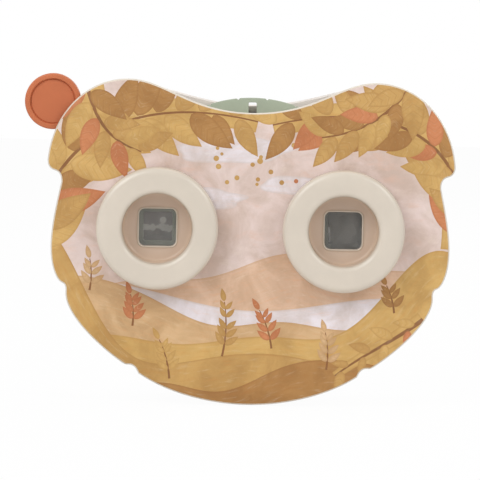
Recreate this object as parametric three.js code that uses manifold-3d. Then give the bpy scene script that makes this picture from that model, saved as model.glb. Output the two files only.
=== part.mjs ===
import * as THREE from 'three';
import { mergeVertices } from 'three/addons/utils/BufferGeometryUtils.js';
import Module from 'manifold-3d';

// Stereo reel viewer in millimetres, +Z up. Light comes in at the front, which faces -Y,
// and the eyecups are at the back. Left and right are as seen from the front.
// Outlines are measured from the point midway between the two viewing axes, which is also
// the reel's axis, and depths from a point on the base flat.

// Stance and fits
const eyeSpacing = 64;
const eyeHeight = 61;
const baseHalfWidth = 8;
const faceFront = -20;
const seatGap = 0.3;
const runningGap = 0.2;

// Fascia: the right half of its outline from the brow's dip to the chin,
// one curve a row, given by its handles and its end
const fasciaThickness = 3.2;
const fasciaRound = 1;
const fasciaStart = [0, 40];
const chinStart = [37.8, -50.4];
const chinDrop = eyeHeight - seatGap;
const browCurve = [[22, 40], [30, 51], [42.6, 51]];
const chinCurve = [[28, -57], [13.5, -chinDrop], [0, -chinDrop]];
const fasciaCurves = [
  browCurve,
  [[58, 51], [69, 38], [70.2, 22.5]],
  [[70.1, 19.6], [67.6, 19]],
  [[65.3, 18.4], [65.4, 15.2]],
  [[67.2, 6], [71.2, -9], [66.4, -17.8]],
  [[65.4, -19.4], [64.4, -19.7]],
  [[63.1, -20.2], [63.3, -22.6]],
  [[63.8, -31], [50, -42.5], [43.2, -47]],
  [[42.2, -47.7], [41.2, -47.5]],
  [[38.9, -47.4], chinStart],
  chinCurve,
];
const pegRadius = 1.8;
const pegPlaces = [[47, 24], [-47, 24], [18, -52], [-18, -52]];

// Case: outline of both shells, flat under the chin; in front of the reel it stays behind the fascia
const caseStart = [0, 42];
const caseCurves = [
  [[19, 42], [29.5, 48.8], [42.2, 48.8]],
  [[58, 48.8], [64.6, 32], [63.6, 12]],
  [[63.2, 2], [64.2, -12], [61.8, -22]],
  [[59.5, -34], [47, -44], [36.5, -49.5]],
  [[28, -53.5], [15, -60], [baseHalfWidth, -eyeHeight]],
  [[0, -eyeHeight]],
];
const caseSetback = 1.2;
const frontWall = 2;
const sideWall = 2;
const backWall = 2.2;
const rearDepth = 33;
const rearRoundDepth = 13;
const rearRoundInset = 7;
const rearRoundSteps = 5;
const septumThickness = 1.6;
const noseHalfWidth = 15;
const noseDepth = 15;
const noseHeight = 46;

// Light rings and windows
const ringRadius = 21;
const ringMouthRadius = 12;
const ringFloorThickness = 1.2;
const ringProud = 8.8;
const ringRound = 2.4;
const ringMouthRound = 2;
const ringFloorRound = 2.5;
const ringBevel = 0.6;
const spigotRadius = 16.5;
const windowSize = 12.8;
const windowCorner = 2;
const paneBorder = 1;
const paneThickness = 0.7;

// Reel
const reelRadius = 45;
const frameCount = 14;
const frameSize = 10;
const discThickness = 1;
const filmThickness = 0.3;
const filmMargin = 0.7;
const laminateGap = 0.1;
const driveHoleWidth = 2.8;
const driveHoleLength = 5;
const driveHoleMargin = 1.6;
const notchWidth = 1.3;
const notchDepth = 0.5;
const hubRadius = 2;
const hubFlangeRadius = 3.5;
const hubFlangeThickness = 0.4;
const journalRadius = 1.5;

// Reel slot and film gate
const reelSlotDepth = 4;
const reelRimPlay = 0.8;
const slotEndPlay = 1;
const pocketWall = 1.5;
const pocketStart = 195;
const pocketEnd = 345;
const guideRibWidth = 3.5;
const guideRibSetback = 1;
const guideRibEnd = 415;
const gateThickness = 2;
const gateAperture = 10.6;
const gateMargin = 2.5;
const gateToSplit = 1.9;
const gateFootDrop = 0.5;
const gateFoot = -(reelRadius + eyeHeight - sideWall) / 2 - gateFootDrop;
const gatePlaces = [[52, 17], [50, -24], [-50, -24], [0, gateFoot]];
const gatePostRadius = 3;

// Advance lever
const knobRadius = 9.65;
const knobReach = 81;
const knobAngle = 148.2;
const knobThickness = 6;
const knobRim = 1.6;
const knobDish = 0.9;
const knobRound = 0.8;
const knobClearance = 0.6;
const knobWallGap = 4;
const leverThickness = 2;
const leverPlay = 0.35;
const leverHubRadius = 8;
const armWidth = 10;
const knobRootWidth = 10;
const knobRootDrop = 4.4;
const armBendReach = 54;
const slotPlay = 2;
const pivotRadius = 3;
const pawlSpace = 2;

// Pawl
const pawlReach = 12;
const pawlWidth = 2;
const pawlThickness = 0.9;
const barrelRadius = 0.95;
const pinRadius = 0.45;
const toothLength = 2.8;
const toothClearance = 0.35;
const earThickness = 1.2;

// Return spring
const springAnchor = [14, 30];
const springPostReach = 24;
const springPostRadius = 0.9;
const springRadius = 1.1;
const wireRadius = 0.25;
const springCurls = 9;
const springPitch = 1.5;

// Lenses and eyecups
const lensRadius = 14.6;
const lensThickness = 5.5;
const lensEdge = 2;
const lensLip = 1.2;
const lensSeatDepth = 2.5;
const tubeWall = 2;
const tubeInside = 9;
const tubeProud = 5;
const retainerDepth = 2;
const retainerWidth = 1.6;
const eyecupDepth = 14;
const eyecupWall = 2.3;
const eyecupFlare = 3.4;

// Screws
const casePlaces = [[53.5, 33], [57, -6], [-57, -10], [33, -43], [-33, -43]];
const casePostRadius = 3.8;
const caseScrewLength = 16;
const caseScrewFloor = 10;
const caseHeadRadius = 2.8;
const caseHeadHeight = 2;
const caseShankRadius = 1.1;
const gateScrewLength = 7;
const gateHeadRadius = 2.3;
const gateHeadHeight = 1.4;
const gateShankRadius = 0.9;
const pivotHeadRadius = 4.2;
const pivotHeadHeight = 1;
const pivotScrewLength = 3;

// Depths, from the front to the back
const fasciaBack = faceFront + fasciaThickness;
const shellFront = fasciaBack + seatGap;
const wallBack = shellFront + frontWall;
const leverFront = wallBack + leverPlay;
const leverBack = leverFront + leverThickness;
const slotFront = leverBack + pawlSpace;
const slotBack = slotFront + reelSlotDepth;
const knobFront = fasciaBack + knobClearance;
const knobBack = knobFront + knobThickness;
const reelThickness = 2 * discThickness + filmThickness + 2 * laminateGap;
const reelFront = (slotFront + slotBack - reelThickness) / 2;
const reelBack = reelFront + reelThickness;
const gateBack = slotBack + gateThickness;
const partingFront = gateBack + gateToSplit;
const rearStart = partingFront + seatGap;
const backOuter = rearStart + rearDepth;
const ringFront = faceFront - seatGap - ringProud;
const tubeFront = backOuter - tubeInside;
const tubeEnd = backOuter + tubeProud;
const lensSeat = tubeFront + lensSeatDepth;
const paneFront = wallBack - paneThickness - seatGap;
const pinDepth = leverBack + runningGap + barrelRadius;
const springDepth = leverBack + springRadius / 2;

// Angles, counted from +X towards +Z, and radii that follow from the reel
const framePitch = 360 / frameCount;
const pawlAngle = 90 + 2 * framePitch;
const frameRadius = eyeSpacing / 2;
const driveHoleRadius = reelRadius - driveHoleMargin - driveHoleLength / 2;
const pawlPivotRadius = driveHoleRadius + pawlReach;
const paneSize = windowSize + 2 * paneBorder;
const tubeBore = lensRadius + seatGap;
const tubeRadius = tubeBore + tubeWall;
const clevisHalf = pawlWidth / 2 + runningGap;
const wallReach = knobReach - knobRadius - knobWallGap;
const beyond = 200;

// Height of a lens surface above the lens's middle plane, at a radius
const lensDome = (lensThickness - lensEdge) / 2;
const lensRise = (radius) => lensEdge / 2 + lensDome * (1 - (radius / lensRadius) ** 2);
const lensMiddle = lensSeat + seatGap + lensRise(tubeBore - lensLip);

// Facets
const outlineStep = 6;
const fineStep = 4.4;
const ringSides = 28;
const lensSides = 20;
const discSides = 40;
const smallSides = 8;
const pivotSides = 24;

const wasm = await Module();
wasm.setup();

// Shape helpers
const radians = THREE.MathUtils.degToRad;
const point = (x, z) => new THREE.Vector2(x, z);
const polar = (radius, degrees) => point(
  radius * Math.cos(radians(degrees)), radius * Math.sin(radians(degrees)),
);
const shifted = (points, x, z) => points.map((p) => point(p.x + x, p.y + z));
const turned = (points, degrees) => points.map((p) => p.clone().rotateAround(point(0, 0), radians(degrees)));

function circle(radius, sides) {
  return Array.from({ length: sides }, (_, i) => polar(radius, (360 * i) / sides));
}

function rectangle(width, height) {
  const [x, z] = [width / 2, height / 2];
  return [point(-x, -z), point(x, -z), point(x, z), point(-x, z)];
}

function roundedSquare(size, corner) {
  const middle = size / 2 - corner;
  return [0, 90, 180, 270].flatMap((start) => {
    const centre = turned([point(middle, middle)], start)[0];
    return [0, 30, 60, 90].map((step) => polar(corner, start + step).add(centre));
  });
}

function sector(inner, outer, from, to, step = 6) {
  const count = Math.ceil((to - from) / step);
  const angles = Array.from({ length: count + 1 }, (_, i) => from + ((to - from) * i) / count);
  const inside = angles.map((angle) => polar(inner, angle));
  const outside = angles.map((angle) => polar(outer, angle));
  return [...outside, ...inside.reverse()];
}

// A closed outline, symmetrical about x = 0, from the curves of its right half
function mirroredOutline(start, curves, step) {
  const half = [point(...start)];
  for (const row of curves) {
    const knots = [half.at(-1), ...row.map((end) => point(...end))];
    const kinds = [THREE.LineCurve, THREE.QuadraticBezierCurve, THREE.CubicBezierCurve];
    const curve = new kinds[row.length - 1](...knots);
    const count = Math.max(row.length, Math.round(curve.getLength() / step));
    half.push(...curve.getPoints(count).slice(1));
  }
  const other = half.slice(1, -1).reverse().map((p) => point(-p.x, p.y));
  return [...half, ...other];
}

// The same outline drawn in by a distance; it runs clockwise, so inwards is to the right
function inset(points, distance) {
  const inward = (from, to) => point(to.y - from.y, from.x - to.x).normalize();
  return points.map((p, i) => {
    const before = inward(points.at(i - 1), p);
    const after = inward(p, points[(i + 1) % points.length]);
    const middle = before.clone().add(after).normalize();
    return p.clone().addScaledVector(middle, distance / middle.dot(before));
  });
}

// The area past the fascia's brow or chin, drawn in by a distance, up or down to a far height
function pastFascia(start, row, drawn, far) {
  const curve = new THREE.CubicBezierCurve(point(...start), ...row.map((p) => point(...p)));
  const outwards = curve.getPoints(8).sort((a, b) => a.x - b.x);
  const right = outwards.map((p) => point(p.x, p.y - Math.sign(far) * drawn));
  const left = right.slice(1).reverse().map((p) => point(-p.x, p.y));
  const end = right.at(-1).x;
  return [...left, ...right, point(end, far), point(-end, far)];
}

// A band of changing width along a centre line
function ribbon(line, widths) {
  const sides = [1, -1].map((side) => line.map((p, i) => {
    const before = line[Math.max(i - 1, 0)];
    const after = line[Math.min(i + 1, line.length - 1)];
    const across = point(before.y - after.y, after.x - before.x).normalize();
    return p.clone().addScaledVector(across, (side * widths[i]) / 2);
  }));
  return [...sides[0], ...sides[1].reverse()];
}

// Solids
function toSolid(geometry) {
  geometry.deleteAttribute('normal');
  geometry.deleteAttribute('uv');
  const merged = mergeVertices(geometry);
  const place = (i) => new THREE.Vector3().fromBufferAttribute(merged.attributes.position, i);
  const corners = merged.index.array;
  const triangles = [];
  let volume = 0;
  for (let i = 0; i < corners.length; i += 3) {
    const [a, b, c] = corners.slice(i, i + 3);
    if (a === b || b === c || c === a) continue;
    triangles.push(a, b, c);
    volume += place(a).dot(place(b).cross(place(c)));
  }
  if (volume < 0) triangles.reverse();
  const vertProperties = new Float32Array(merged.attributes.position.array);
  const triVerts = new Uint32Array(triangles);
  return new wasm.Manifold(new wasm.Mesh({ numProp: 3, vertProperties, triVerts }));
}

const join = (...solids) => solids.reduce((whole, solid) => whole.add(solid));

// A plate of an outline drawn in X and Z, from one depth to another, with its edges rounded or not
function plate(points, front, back, round = 0, roundDepth = round, roundSteps = 2) {
  const geometry = new THREE.ExtrudeGeometry(new THREE.Shape(points), {
    depth: back - front - 2 * roundDepth,
    bevelEnabled: round > 0,
    bevelThickness: roundDepth,
    bevelSize: round,
    bevelOffset: -round,
    bevelSegments: roundSteps,
  });
  return toSolid(geometry.rotateX(Math.PI / 2).translate(0, back - roundDepth, 0));
}

// A turned piece about an axis along Y through (x, z); its profile gives radius and depth
function turning(profile, x = 0, z = 0, sides = ringSides) {
  const points = profile.map(([radius, depth]) => new THREE.Vector2(radius, depth));
  return toSolid(new THREE.LatheGeometry(points, sides).translate(x, 0, z));
}

function rod(radius, front, back, x = 0, z = 0, sides = smallSides) {
  return turning([[0, front], [radius, front], [radius, back], [0, back]], x, z, sides);
}

function screw(headRadius, headHeight, shankRadius, length, seat, x = 0, z = 0) {
  const top = seat + headHeight;
  const profile = [
    [0, seat - length], [shankRadius, seat - length + shankRadius], [shankRadius, seat],
    [headRadius, seat], [headRadius, top - headHeight / 2], [headRadius * 0.7, top], [0, top],
  ];
  return turning(profile, x, z, smallSides);
}

// Finishes
const finish = (color, roughness, metalness = 0, opacity = 1) => new THREE.MeshStandardMaterial({
  color, roughness, metalness, opacity, transparent: opacity < 1, flatShading: true,
});
const printedFace = finish(0xcfa870, 0.45);
const creamPlastic = finish(0xdcd3c4, 0.5);
const terracottaPlastic = finish(0xc57350, 0.5);
const sagePlastic = finish(0xa3af96, 0.55);
const filmStock = finish(0x4a4e52, 0.25, 0, 0.8);
const clearPlastic = finish(0xe6ebec, 0.1, 0, 0.35);
const steel = finish(0xb4b6b8, 0.35, 0.9);

const viewer = new THREE.Group();
const works = new THREE.Group();
works.position.z = eyeHeight;
viewer.add(works);

function addNode(name, solid, material) {
  const { numProp, vertProperties, triVerts } = solid.getMesh();
  const geometry = new THREE.BufferGeometry();
  geometry.setAttribute('position', new THREE.BufferAttribute(new Float32Array(vertProperties), numProp));
  geometry.setIndex(new THREE.BufferAttribute(new Uint32Array(triVerts), 1));
  geometry.computeVertexNormals();
  const mesh = new THREE.Mesh(geometry, material);
  mesh.name = name;
  works.add(mesh);
}

const eyes = [['left', -eyeSpacing / 2], ['right', eyeSpacing / 2]];
const caseOutline = mirroredOutline(caseStart, caseCurves, outlineStep);
const knobPlace = polar(knobReach, knobAngle);
const knobRoot = point(knobPlace.x, knobPlace.y - knobRootDrop);

// Fascia: a thin plate with two holes for the rings' spigots and four pegs behind it
function makeFascia() {
  const outline = mirroredOutline(fasciaStart, fasciaCurves, fineStep);
  const face = plate(outline, faceFront, fasciaBack, fasciaRound);
  const holeRadius = spigotRadius + seatGap;
  const holes = eyes.map(([, x]) => rod(holeRadius, faceFront - 1, fasciaBack + 1, x, 0, ringSides));
  const pegs = pegPlaces.map(([x, z]) => rod(pegRadius, fasciaBack - 1, wallBack, x, z));
  return join(face.subtract(join(...holes)), ...pegs);
}

// Light ring: a bowl with a fat rounded lip, the window in its floor and a spigot through the fascia
function makeRing(x) {
  const flangeBack = faceFront - seatGap;
  const spigotEnd = shellFront - seatGap;
  const floor = spigotEnd - ringFloorThickness;
  const arc = (radius, depth, round, from) => [0, 30, 60, 90].map((step) => {
    const corner = polar(round, from + step);
    return [radius + corner.x, depth - corner.y];
  });
  const floorArc = arc(ringMouthRadius - ringFloorRound, floor - ringFloorRound, ringFloorRound, -90);
  const bowl = turning([
    [0, spigotEnd], [spigotRadius, spigotEnd], [spigotRadius, flangeBack],
    [ringRadius - ringBevel, flangeBack], [ringRadius, flangeBack - ringBevel],
    ...arc(ringRadius - ringRound, ringFront + ringRound, ringRound, 0),
    ...arc(ringMouthRadius + ringMouthRound, ringFront + ringMouthRound, ringMouthRound, 90),
    ...floorArc.reverse(), [0, floor],
  ], x);
  const window = plate(shifted(roundedSquare(windowSize, windowCorner), x, 0), floor - 1, spigotEnd + 1);
  return bowl.subtract(window);
}

// Front shell: tray with the reel's pocket and rails, the lever's pivot and the posts for the screws
function makeFrontShell() {
  const behindFascia = (drawn, front) => plate(inset(caseOutline, drawn), front, slotFront).subtract(join(
    plate(pastFascia(fasciaStart, browCurve, caseSetback + drawn, beyond), front - 1, slotFront + 1),
    plate(pastFascia(chinStart, chinCurve, caseSetback + drawn, -beyond), front - 1, slotFront + 1),
  ));
  const besideReel = (drawn, back) => plate(inset(caseOutline, drawn), slotFront, back);
  const tray = join(behindFascia(0, shellFront), besideReel(0, partingFront)).subtract(
    join(behindFascia(sideWall, wallBack), besideReel(sideWall, partingFront + 1)),
  );
  const postFoot = wallBack - frontWall / 2;
  const pocketInner = reelRadius + reelRimPlay;
  const pocketOuter = pocketInner + pocketWall;
  const railOuter = reelRadius - guideRibSetback;
  const inner = join(
    plate(sector(pocketInner, pocketOuter, pocketStart, pocketEnd), postFoot, slotBack - seatGap),
    plate(sector(railOuter - guideRibWidth, railOuter, pocketStart, guideRibEnd), postFoot, slotFront),
    rod(pivotRadius, postFoot, leverBack + runningGap / 2, 0, 0, pivotSides),
    rod(springPostRadius, postFoot, springDepth + 3 * wireRadius, ...springAnchor),
    ...gatePlaces.map(([x, z]) => rod(gatePostRadius, postFoot, slotBack - seatGap, x, z)),
    ...casePlaces.map(([x, z]) => rod(casePostRadius, postFoot, partingFront, x, z)),
  );
  const windows = eyes.flatMap(([, x]) => [
    plate(shifted(roundedSquare(windowSize, windowCorner), x, 0), shellFront - 1, wallBack + 1),
    plate(shifted(rectangle(paneSize + 2 * seatGap, paneSize + 2 * seatGap), x, 0), paneFront, wallBack + 1),
  ]);
  const slotHalf = reelRadius + slotEndPlay;
  const notchHalf = journalRadius + 2 * runningGap;
  const slotMargin = (width) => THREE.MathUtils.radToDeg(Math.asin((width / 2 + slotPlay) / wallReach));
  const slotStart = pawlAngle - slotMargin(armWidth);
  const slotEnd = THREE.MathUtils.radToDeg(knobRoot.angle()) + framePitch + slotMargin(knobRootWidth);
  const knobInside = knobReach - knobRadius - knobClearance;
  const knobMargin = THREE.MathUtils.radToDeg(Math.asin((knobRadius + knobClearance) / knobReach));
  const knobSweep = sector(knobInside, beyond, knobAngle - knobMargin, knobAngle + framePitch + knobMargin);
  const gatePilot = gateShankRadius + seatGap;
  const casePilot = caseShankRadius + seatGap;
  const cuts = join(
    ...windows,
    plate(shifted(rectangle(2 * slotHalf, beyond), 0, beyond / 2), slotFront, slotBack),
    plate(shifted(rectangle(2 * notchHalf, beyond), 0, beyond / 2), slotBack - 1, gateBack),
    plate(sector(pawlPivotRadius, beyond, slotStart, slotEnd), wallBack, leverBack + leverPlay),
    plate(knobSweep, knobFront - seatGap, knobBack + seatGap),
    rod(gatePilot, wallBack - frontWall / 2, leverBack + runningGap),
    ...pegPlaces.map(([x, z]) => rod(pegRadius + seatGap, shellFront - 1, wallBack + 1, x, z)),
    ...gatePlaces.map(([x, z]) => rod(gatePilot, wallBack, slotBack, x, z)),
    ...casePlaces.map(([x, z]) => rod(casePilot, wallBack, partingFront + 1, x, z)),
  );
  return tray.add(inner).subtract(cuts);
}

// Rear shell: a deep shell with a rounded back, a hollow for the nose, lens tubes and screw tubes
function makeRearShell() {
  const loft = (drawn, back) => plate(
    inset(caseOutline, drawn), 2 * rearStart - back, back, rearRoundInset, rearRoundDepth, rearRoundSteps,
  );
  const frontHalf = plate(rectangle(beyond, beyond), rearStart - beyond, rearStart);
  const nose = (grown) => toSolid(new THREE.SphereGeometry(1, 24, 16)
    .scale(noseHalfWidth + grown, noseDepth + grown, noseHeight + grown)
    .translate(0, backOuter, -eyeHeight + noseHalfWidth / 2));
  const body = loft(0, backOuter).subtract(frontHalf).subtract(nose(0));
  const hollow = loft(sideWall, backOuter - backWall).subtract(nose(backWall));
  const septum = plate(rectangle(septumThickness, beyond), gateBack + 2 * seatGap, backOuter);
  const screwTubes = casePlaces.map(([x, z]) => rod(casePostRadius, rearStart, backOuter, x, z));
  const inside = join(septum.subtract(frontHalf), ...screwTubes).intersect(body);
  const lensTubes = eyes.map(([, x]) => rod(tubeRadius, tubeFront, tubeEnd, x, 0, ringSides));
  const screwFloor = rearStart + caseScrewFloor;
  const cuts = join(
    ...eyes.map(([, x]) => rod(tubeBore, lensSeat, tubeEnd + 1, x, 0, ringSides)),
    ...eyes.map(([, x]) => rod(tubeBore - lensLip, tubeFront - 1, lensSeat + 1, x, 0, ringSides)),
    ...casePlaces.map(([x, z]) => rod(caseHeadRadius + seatGap, screwFloor, backOuter + 1, x, z)),
    ...casePlaces.map(([x, z]) => rod(caseShankRadius + seatGap, rearStart - 1, screwFloor + 1, x, z)),
  );
  return join(body.subtract(hollow), inside, ...lensTubes).subtract(cuts);
}

// Film gate: the plate behind the reel, with two apertures and the hub's open slot
function makeGate() {
  const web = gatePlaces.map(([x, z]) => {
    const width = 2 * (gatePostRadius + 1);
    const line = [0, 1].map((share) => point(x * share, z * share));
    return join(
      plate(ribbon(line, [width, width]), slotBack, gateBack),
      rod(width / 2, slotBack, gateBack, x, z),
    );
  });
  const outer = join(rod(reelRadius + gateMargin, slotBack, gateBack, 0, 0, discSides), ...web);
  const inCase = plate(inset(caseOutline, sideWall + 2 * seatGap), slotBack - 1, gateBack + 1);
  const slotHalf = journalRadius + runningGap;
  const cuts = join(
    ...eyes.map(([, x]) => plate(shifted(roundedSquare(gateAperture, 1), x, 0), slotBack - 1, gateBack + 1)),
    plate(shifted(rectangle(2 * slotHalf, beyond), 0, beyond / 2), slotBack - 1, gateBack + 1),
    rod(slotHalf, slotBack - 1, gateBack + 1),
    ...gatePlaces.map(([x, z]) => rod(gateShankRadius + seatGap, slotBack - 1, gateBack + 1, x, z)),
  );
  return outer.intersect(inCase).subtract(cuts);
}

// Reel disc: picture frames, drive holes halfway between them and a notched rim
function makeDisc(front) {
  const back = front + discThickness;
  const notchHalf = THREE.MathUtils.radToDeg(notchWidth / 2 / reelRadius);
  const notchPitch = framePitch / 2;
  const notches = Array.from({ length: 2 * frameCount }, (_, i) => 90 + (i + 0.5) * notchPitch);
  const rim = notches.flatMap((angle) => [
    polar(reelRadius, angle - notchHalf),
    polar(reelRadius - notchDepth, angle),
    polar(reelRadius, angle + notchHalf),
    polar(reelRadius, angle + notchPitch / 2),
  ]);
  const turns = Array.from({ length: frameCount }, (_, i) => i * framePitch);
  const through = (points, angle) => plate(turned(points, angle), front - 1, back + 1);
  const cuts = join(
    ...turns.map((angle) => through(shifted(rectangle(frameSize, frameSize), frameRadius, 0), angle)),
    ...turns.map((angle) => through(
      shifted(rectangle(driveHoleLength, driveHoleWidth), driveHoleRadius, 0), angle + framePitch / 2,
    )),
    rod(hubRadius + runningGap, front - 1, back + 1),
  );
  return plate(rim, front, back).subtract(cuts);
}

function makeFilm() {
  const front = reelFront + discThickness + laminateGap;
  const outer = Math.hypot(frameRadius + frameSize / 2, frameSize / 2) + filmMargin;
  const inner = frameRadius - frameSize;
  const back = front + filmThickness;
  const profile = [[inner, front], [outer, front], [outer, back], [inner, back], [inner, front]];
  return turning(profile, 0, 0, discSides);
}

// Reel hub: a rivet with a flange on each side of the reel and a journal in the gate's slot
function makeHub() {
  const front = reelFront - laminateGap;
  const back = reelBack + laminateGap;
  const profile = [
    [0, front - hubFlangeThickness], [hubFlangeRadius, front - hubFlangeThickness], [hubFlangeRadius, front],
    [hubRadius, front], [hubRadius, back], [hubFlangeRadius, back],
    [hubFlangeRadius, back + hubFlangeThickness],
    [journalRadius, back + hubFlangeThickness], [journalRadius, gateBack - seatGap], [0, gateBack - seatGap],
  ];
  return turning(profile, 0, 0, 16);
}

// Pieces laid out along +X are turned about the reel's axis to their angle
const turnedTo = (geometry, degrees) => toSolid(geometry.rotateY(-radians(degrees)));

function block(fromX, toX, front, back, fromZ, toZ) {
  return new THREE.BoxGeometry(toX - fromX, back - front, toZ - fromZ)
    .translate((fromX + toX) / 2, (front + back) / 2, (fromZ + toZ) / 2);
}

function crossRod(radius, width, reach, depth) {
  return new THREE.CylinderGeometry(radius, radius, width, smallSides)
    .rotateX(Math.PI / 2).translate(reach, depth, 0);
}

// Advance lever: arm along the pawl's angle that bends to the dished knob, with a clevis for the pawl
function makeLever() {
  const bend = polar(armBendReach, pawlAngle);
  const elbow = polar((armBendReach + wallReach) / 2, pawlAngle);
  const straight = new THREE.LineCurve(point(0, 0), bend).getPoints(1);
  const turn = new THREE.QuadraticBezierCurve(bend, elbow, knobRoot).getPoints(6);
  const line = [...straight, ...turn.slice(1)];
  const growth = (p) => Math.max(0, p.length() - armBendReach) / (knobReach - armBendReach);
  const widths = line.map((p) => armWidth + (knobRootWidth - armWidth) * growth(p));
  const knob = turning([
    [0, knobFront + knobDish], [knobRadius - knobRim - knobDish / 2, knobFront + knobDish],
    [knobRadius - knobRim, knobFront], [knobRadius - knobRound, knobFront],
    [knobRadius, knobFront + knobRound], [knobRadius, knobBack - knobRound],
    [knobRadius - knobRound, knobBack], [0, knobBack],
  ], knobPlace.x, knobPlace.y);
  const earEnd = pinDepth + barrelRadius;
  const ears = [-clevisHalf - earThickness, clevisHalf].map((edge) => turnedTo(block(
    pawlPivotRadius - barrelRadius, pawlPivotRadius + barrelRadius, leverBack - leverThickness / 2, earEnd,
    edge, edge + earThickness,
  ), pawlAngle));
  const post = polar(springPostReach, pawlAngle);
  const body = join(
    rod(leverHubRadius, leverFront, leverBack, 0, 0, pivotSides),
    plate(ribbon(line, widths), leverFront, leverBack),
    rod(springPostRadius, leverBack - leverThickness / 2, springDepth + 3 * wireRadius, post.x, post.y),
    knob, ...ears,
  );
  const pinHole = crossRod(pinRadius + runningGap, 4 * armWidth, pawlPivotRadius, pinDepth);
  const bore = rod(pivotRadius + runningGap, -beyond, beyond, 0, 0, pivotSides);
  return body.subtract(join(bore, turnedTo(pinHole, pawlAngle)));
}

// Pawl: barrel on the pin, a thin arm towards the reel's axis and a tooth short of the reel at rest
function makePawl() {
  const armFront = leverBack + runningGap;
  const armBack = armFront + pawlThickness;
  const tip = driveHoleRadius - toothLength / 2;
  const half = pawlWidth / 2;
  const toothFront = armBack - pawlThickness / 2;
  const body = join(
    turnedTo(block(tip, pawlPivotRadius, armFront, armBack, -half, half), pawlAngle),
    turnedTo(block(tip, tip + toothLength, toothFront, reelFront - toothClearance, -half, half), pawlAngle),
    turnedTo(crossRod(barrelRadius, pawlWidth, pawlPivotRadius, pinDepth), pawlAngle),
  );
  const bore = crossRod(pinRadius + runningGap, 2 * pawlWidth, pawlPivotRadius, pinDepth);
  return body.subtract(turnedTo(bore, pawlAngle));
}

// Return spring: one wire with a hook on the lever's post, a coil and a hook on the shell's post
function makeSpring() {
  const from = polar(springPostReach, pawlAngle);
  const to = point(...springAnchor);
  const span = from.distanceTo(to);
  const along = to.clone().sub(from).normalize();
  const hookRadius = springPostRadius + seatGap + wireRadius;
  const coilStart = (span - springCurls * springPitch) / 2;
  const local = [];
  for (let angle = 300; angle >= 90; angle -= 30) {
    const hook = polar(hookRadius, angle);
    local.push([hook.x, hook.y, 0]);
  }
  const curlSteps = 8;
  for (let step = 0; step <= springCurls * curlSteps; step += 1) {
    const curl = polar(springRadius, (360 * step) / curlSteps);
    local.push([coilStart + (springPitch * step) / curlSteps, curl.x, curl.y]);
  }
  for (let angle = 90; angle >= -120; angle -= 30) {
    const hook = polar(hookRadius, angle);
    local.push([span + hook.x, hook.y, 0]);
  }
  const path = local.map(([s, n, d]) => new THREE.Vector3(
    from.x + along.x * s - along.y * n, springDepth + d, from.y + along.y * s + along.x * n,
  ));
  const curve = new THREE.CatmullRomCurve3(path);
  const steps = Math.round(curve.getLength() / (2 * Math.PI * springRadius / curlSteps));
  const centres = curve.getSpacedPoints(steps);
  let gap = Infinity;
  centres.forEach((a, i) => centres.slice(i + curlSteps - 2).forEach((b) => {
    gap = Math.min(gap, a.distanceTo(b) - 2 * wireRadius);
  }));
  console.log(`return spring: least gap to itself ${gap.toFixed(2)} mm`);
  const wire = new THREE.Shape(circle(wireRadius, 5));
  return toSolid(new THREE.ExtrudeGeometry(wire, { steps, extrudePath: curve }));
}

// Lens: two shallow domes on a straight edge
function makeLens(x) {
  const radii = [0, 0.35, 0.7, 1].map((share) => lensRadius * share);
  const front = radii.map((radius) => [radius, lensMiddle - lensRise(radius)]);
  const back = radii.map((radius) => [radius, lensMiddle + lensRise(radius)]);
  return turning([...front, ...back.reverse()], x, 0, lensSides);
}

function makeRetainer(x) {
  const inner = lensRadius - retainerWidth;
  const front = lensMiddle + lensRise(inner) + seatGap;
  const back = front + retainerDepth;
  const profile = [[inner, front], [lensRadius, front], [lensRadius, back], [inner, back], [inner, front]];
  return turning(profile, x, 0, lensSides);
}

// Eyecup: a sleeve over the lens tube that flares to a rounded rim
function makeEyecup(x) {
  const front = backOuter + seatGap;
  const back = front + eyecupDepth;
  const sleeve = tubeRadius + seatGap;
  const outer = sleeve + eyecupWall;
  const shoulder = tubeEnd + seatGap;
  const rim = outer + eyecupFlare / 2;
  const profile = [
    [sleeve, front], [outer, front], [outer + eyecupFlare / 4, back - eyecupDepth / 2],
    [rim, back - eyecupWall], [rim - eyecupWall / 3, back - eyecupWall / 4], [rim - eyecupWall, back],
    [rim - 1.8 * eyecupWall, back - eyecupWall / 3], [tubeBore, shoulder], [sleeve, shoulder],
    [sleeve, front],
  ];
  return turning(profile, x);
}

addNode('front_fascia', makeFascia(), printedFace);
addNode('front_shell', makeFrontShell(), creamPlastic);
addNode('rear_shell', makeRearShell(), creamPlastic);
for (const [side, x] of eyes) {
  const square = shifted(rectangle(paneSize, paneSize), x, 0);
  const pane = plate(square, paneFront + seatGap / 2, wallBack - seatGap / 2);
  addNode(`${side}_eye_ring`, makeRing(x), creamPlastic);
  addNode(`${side}_window_pane`, pane, clearPlastic);
  addNode(`${side}_lens`, makeLens(x), clearPlastic);
  addNode(`${side}_lens_retainer`, makeRetainer(x), creamPlastic);
  addNode(`${side}_eyecup`, makeEyecup(x), creamPlastic);
}
addNode('film_gate', makeGate(), creamPlastic);
addNode('reel_front_disc', makeDisc(reelFront), sagePlastic);
addNode('film_ring', makeFilm(), filmStock);
addNode('reel_back_disc', makeDisc(reelBack - discThickness), sagePlastic);
addNode('reel_hub', makeHub(), steel);
addNode('advance_lever', makeLever(), terracottaPlastic);
addNode('advance_pawl', makePawl(), steel);
addNode('pawl_pin', turnedTo(
  crossRod(pinRadius, 2 * (clevisHalf + earThickness), pawlPivotRadius, pinDepth), pawlAngle,
), steel);
addNode('lever_return_spring', makeSpring(), steel);
addNode('lever_pivot_screw', screw(
  pivotHeadRadius, pivotHeadHeight, gateShankRadius, pivotScrewLength, leverBack + runningGap / 2 + seatGap,
), steel);
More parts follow.
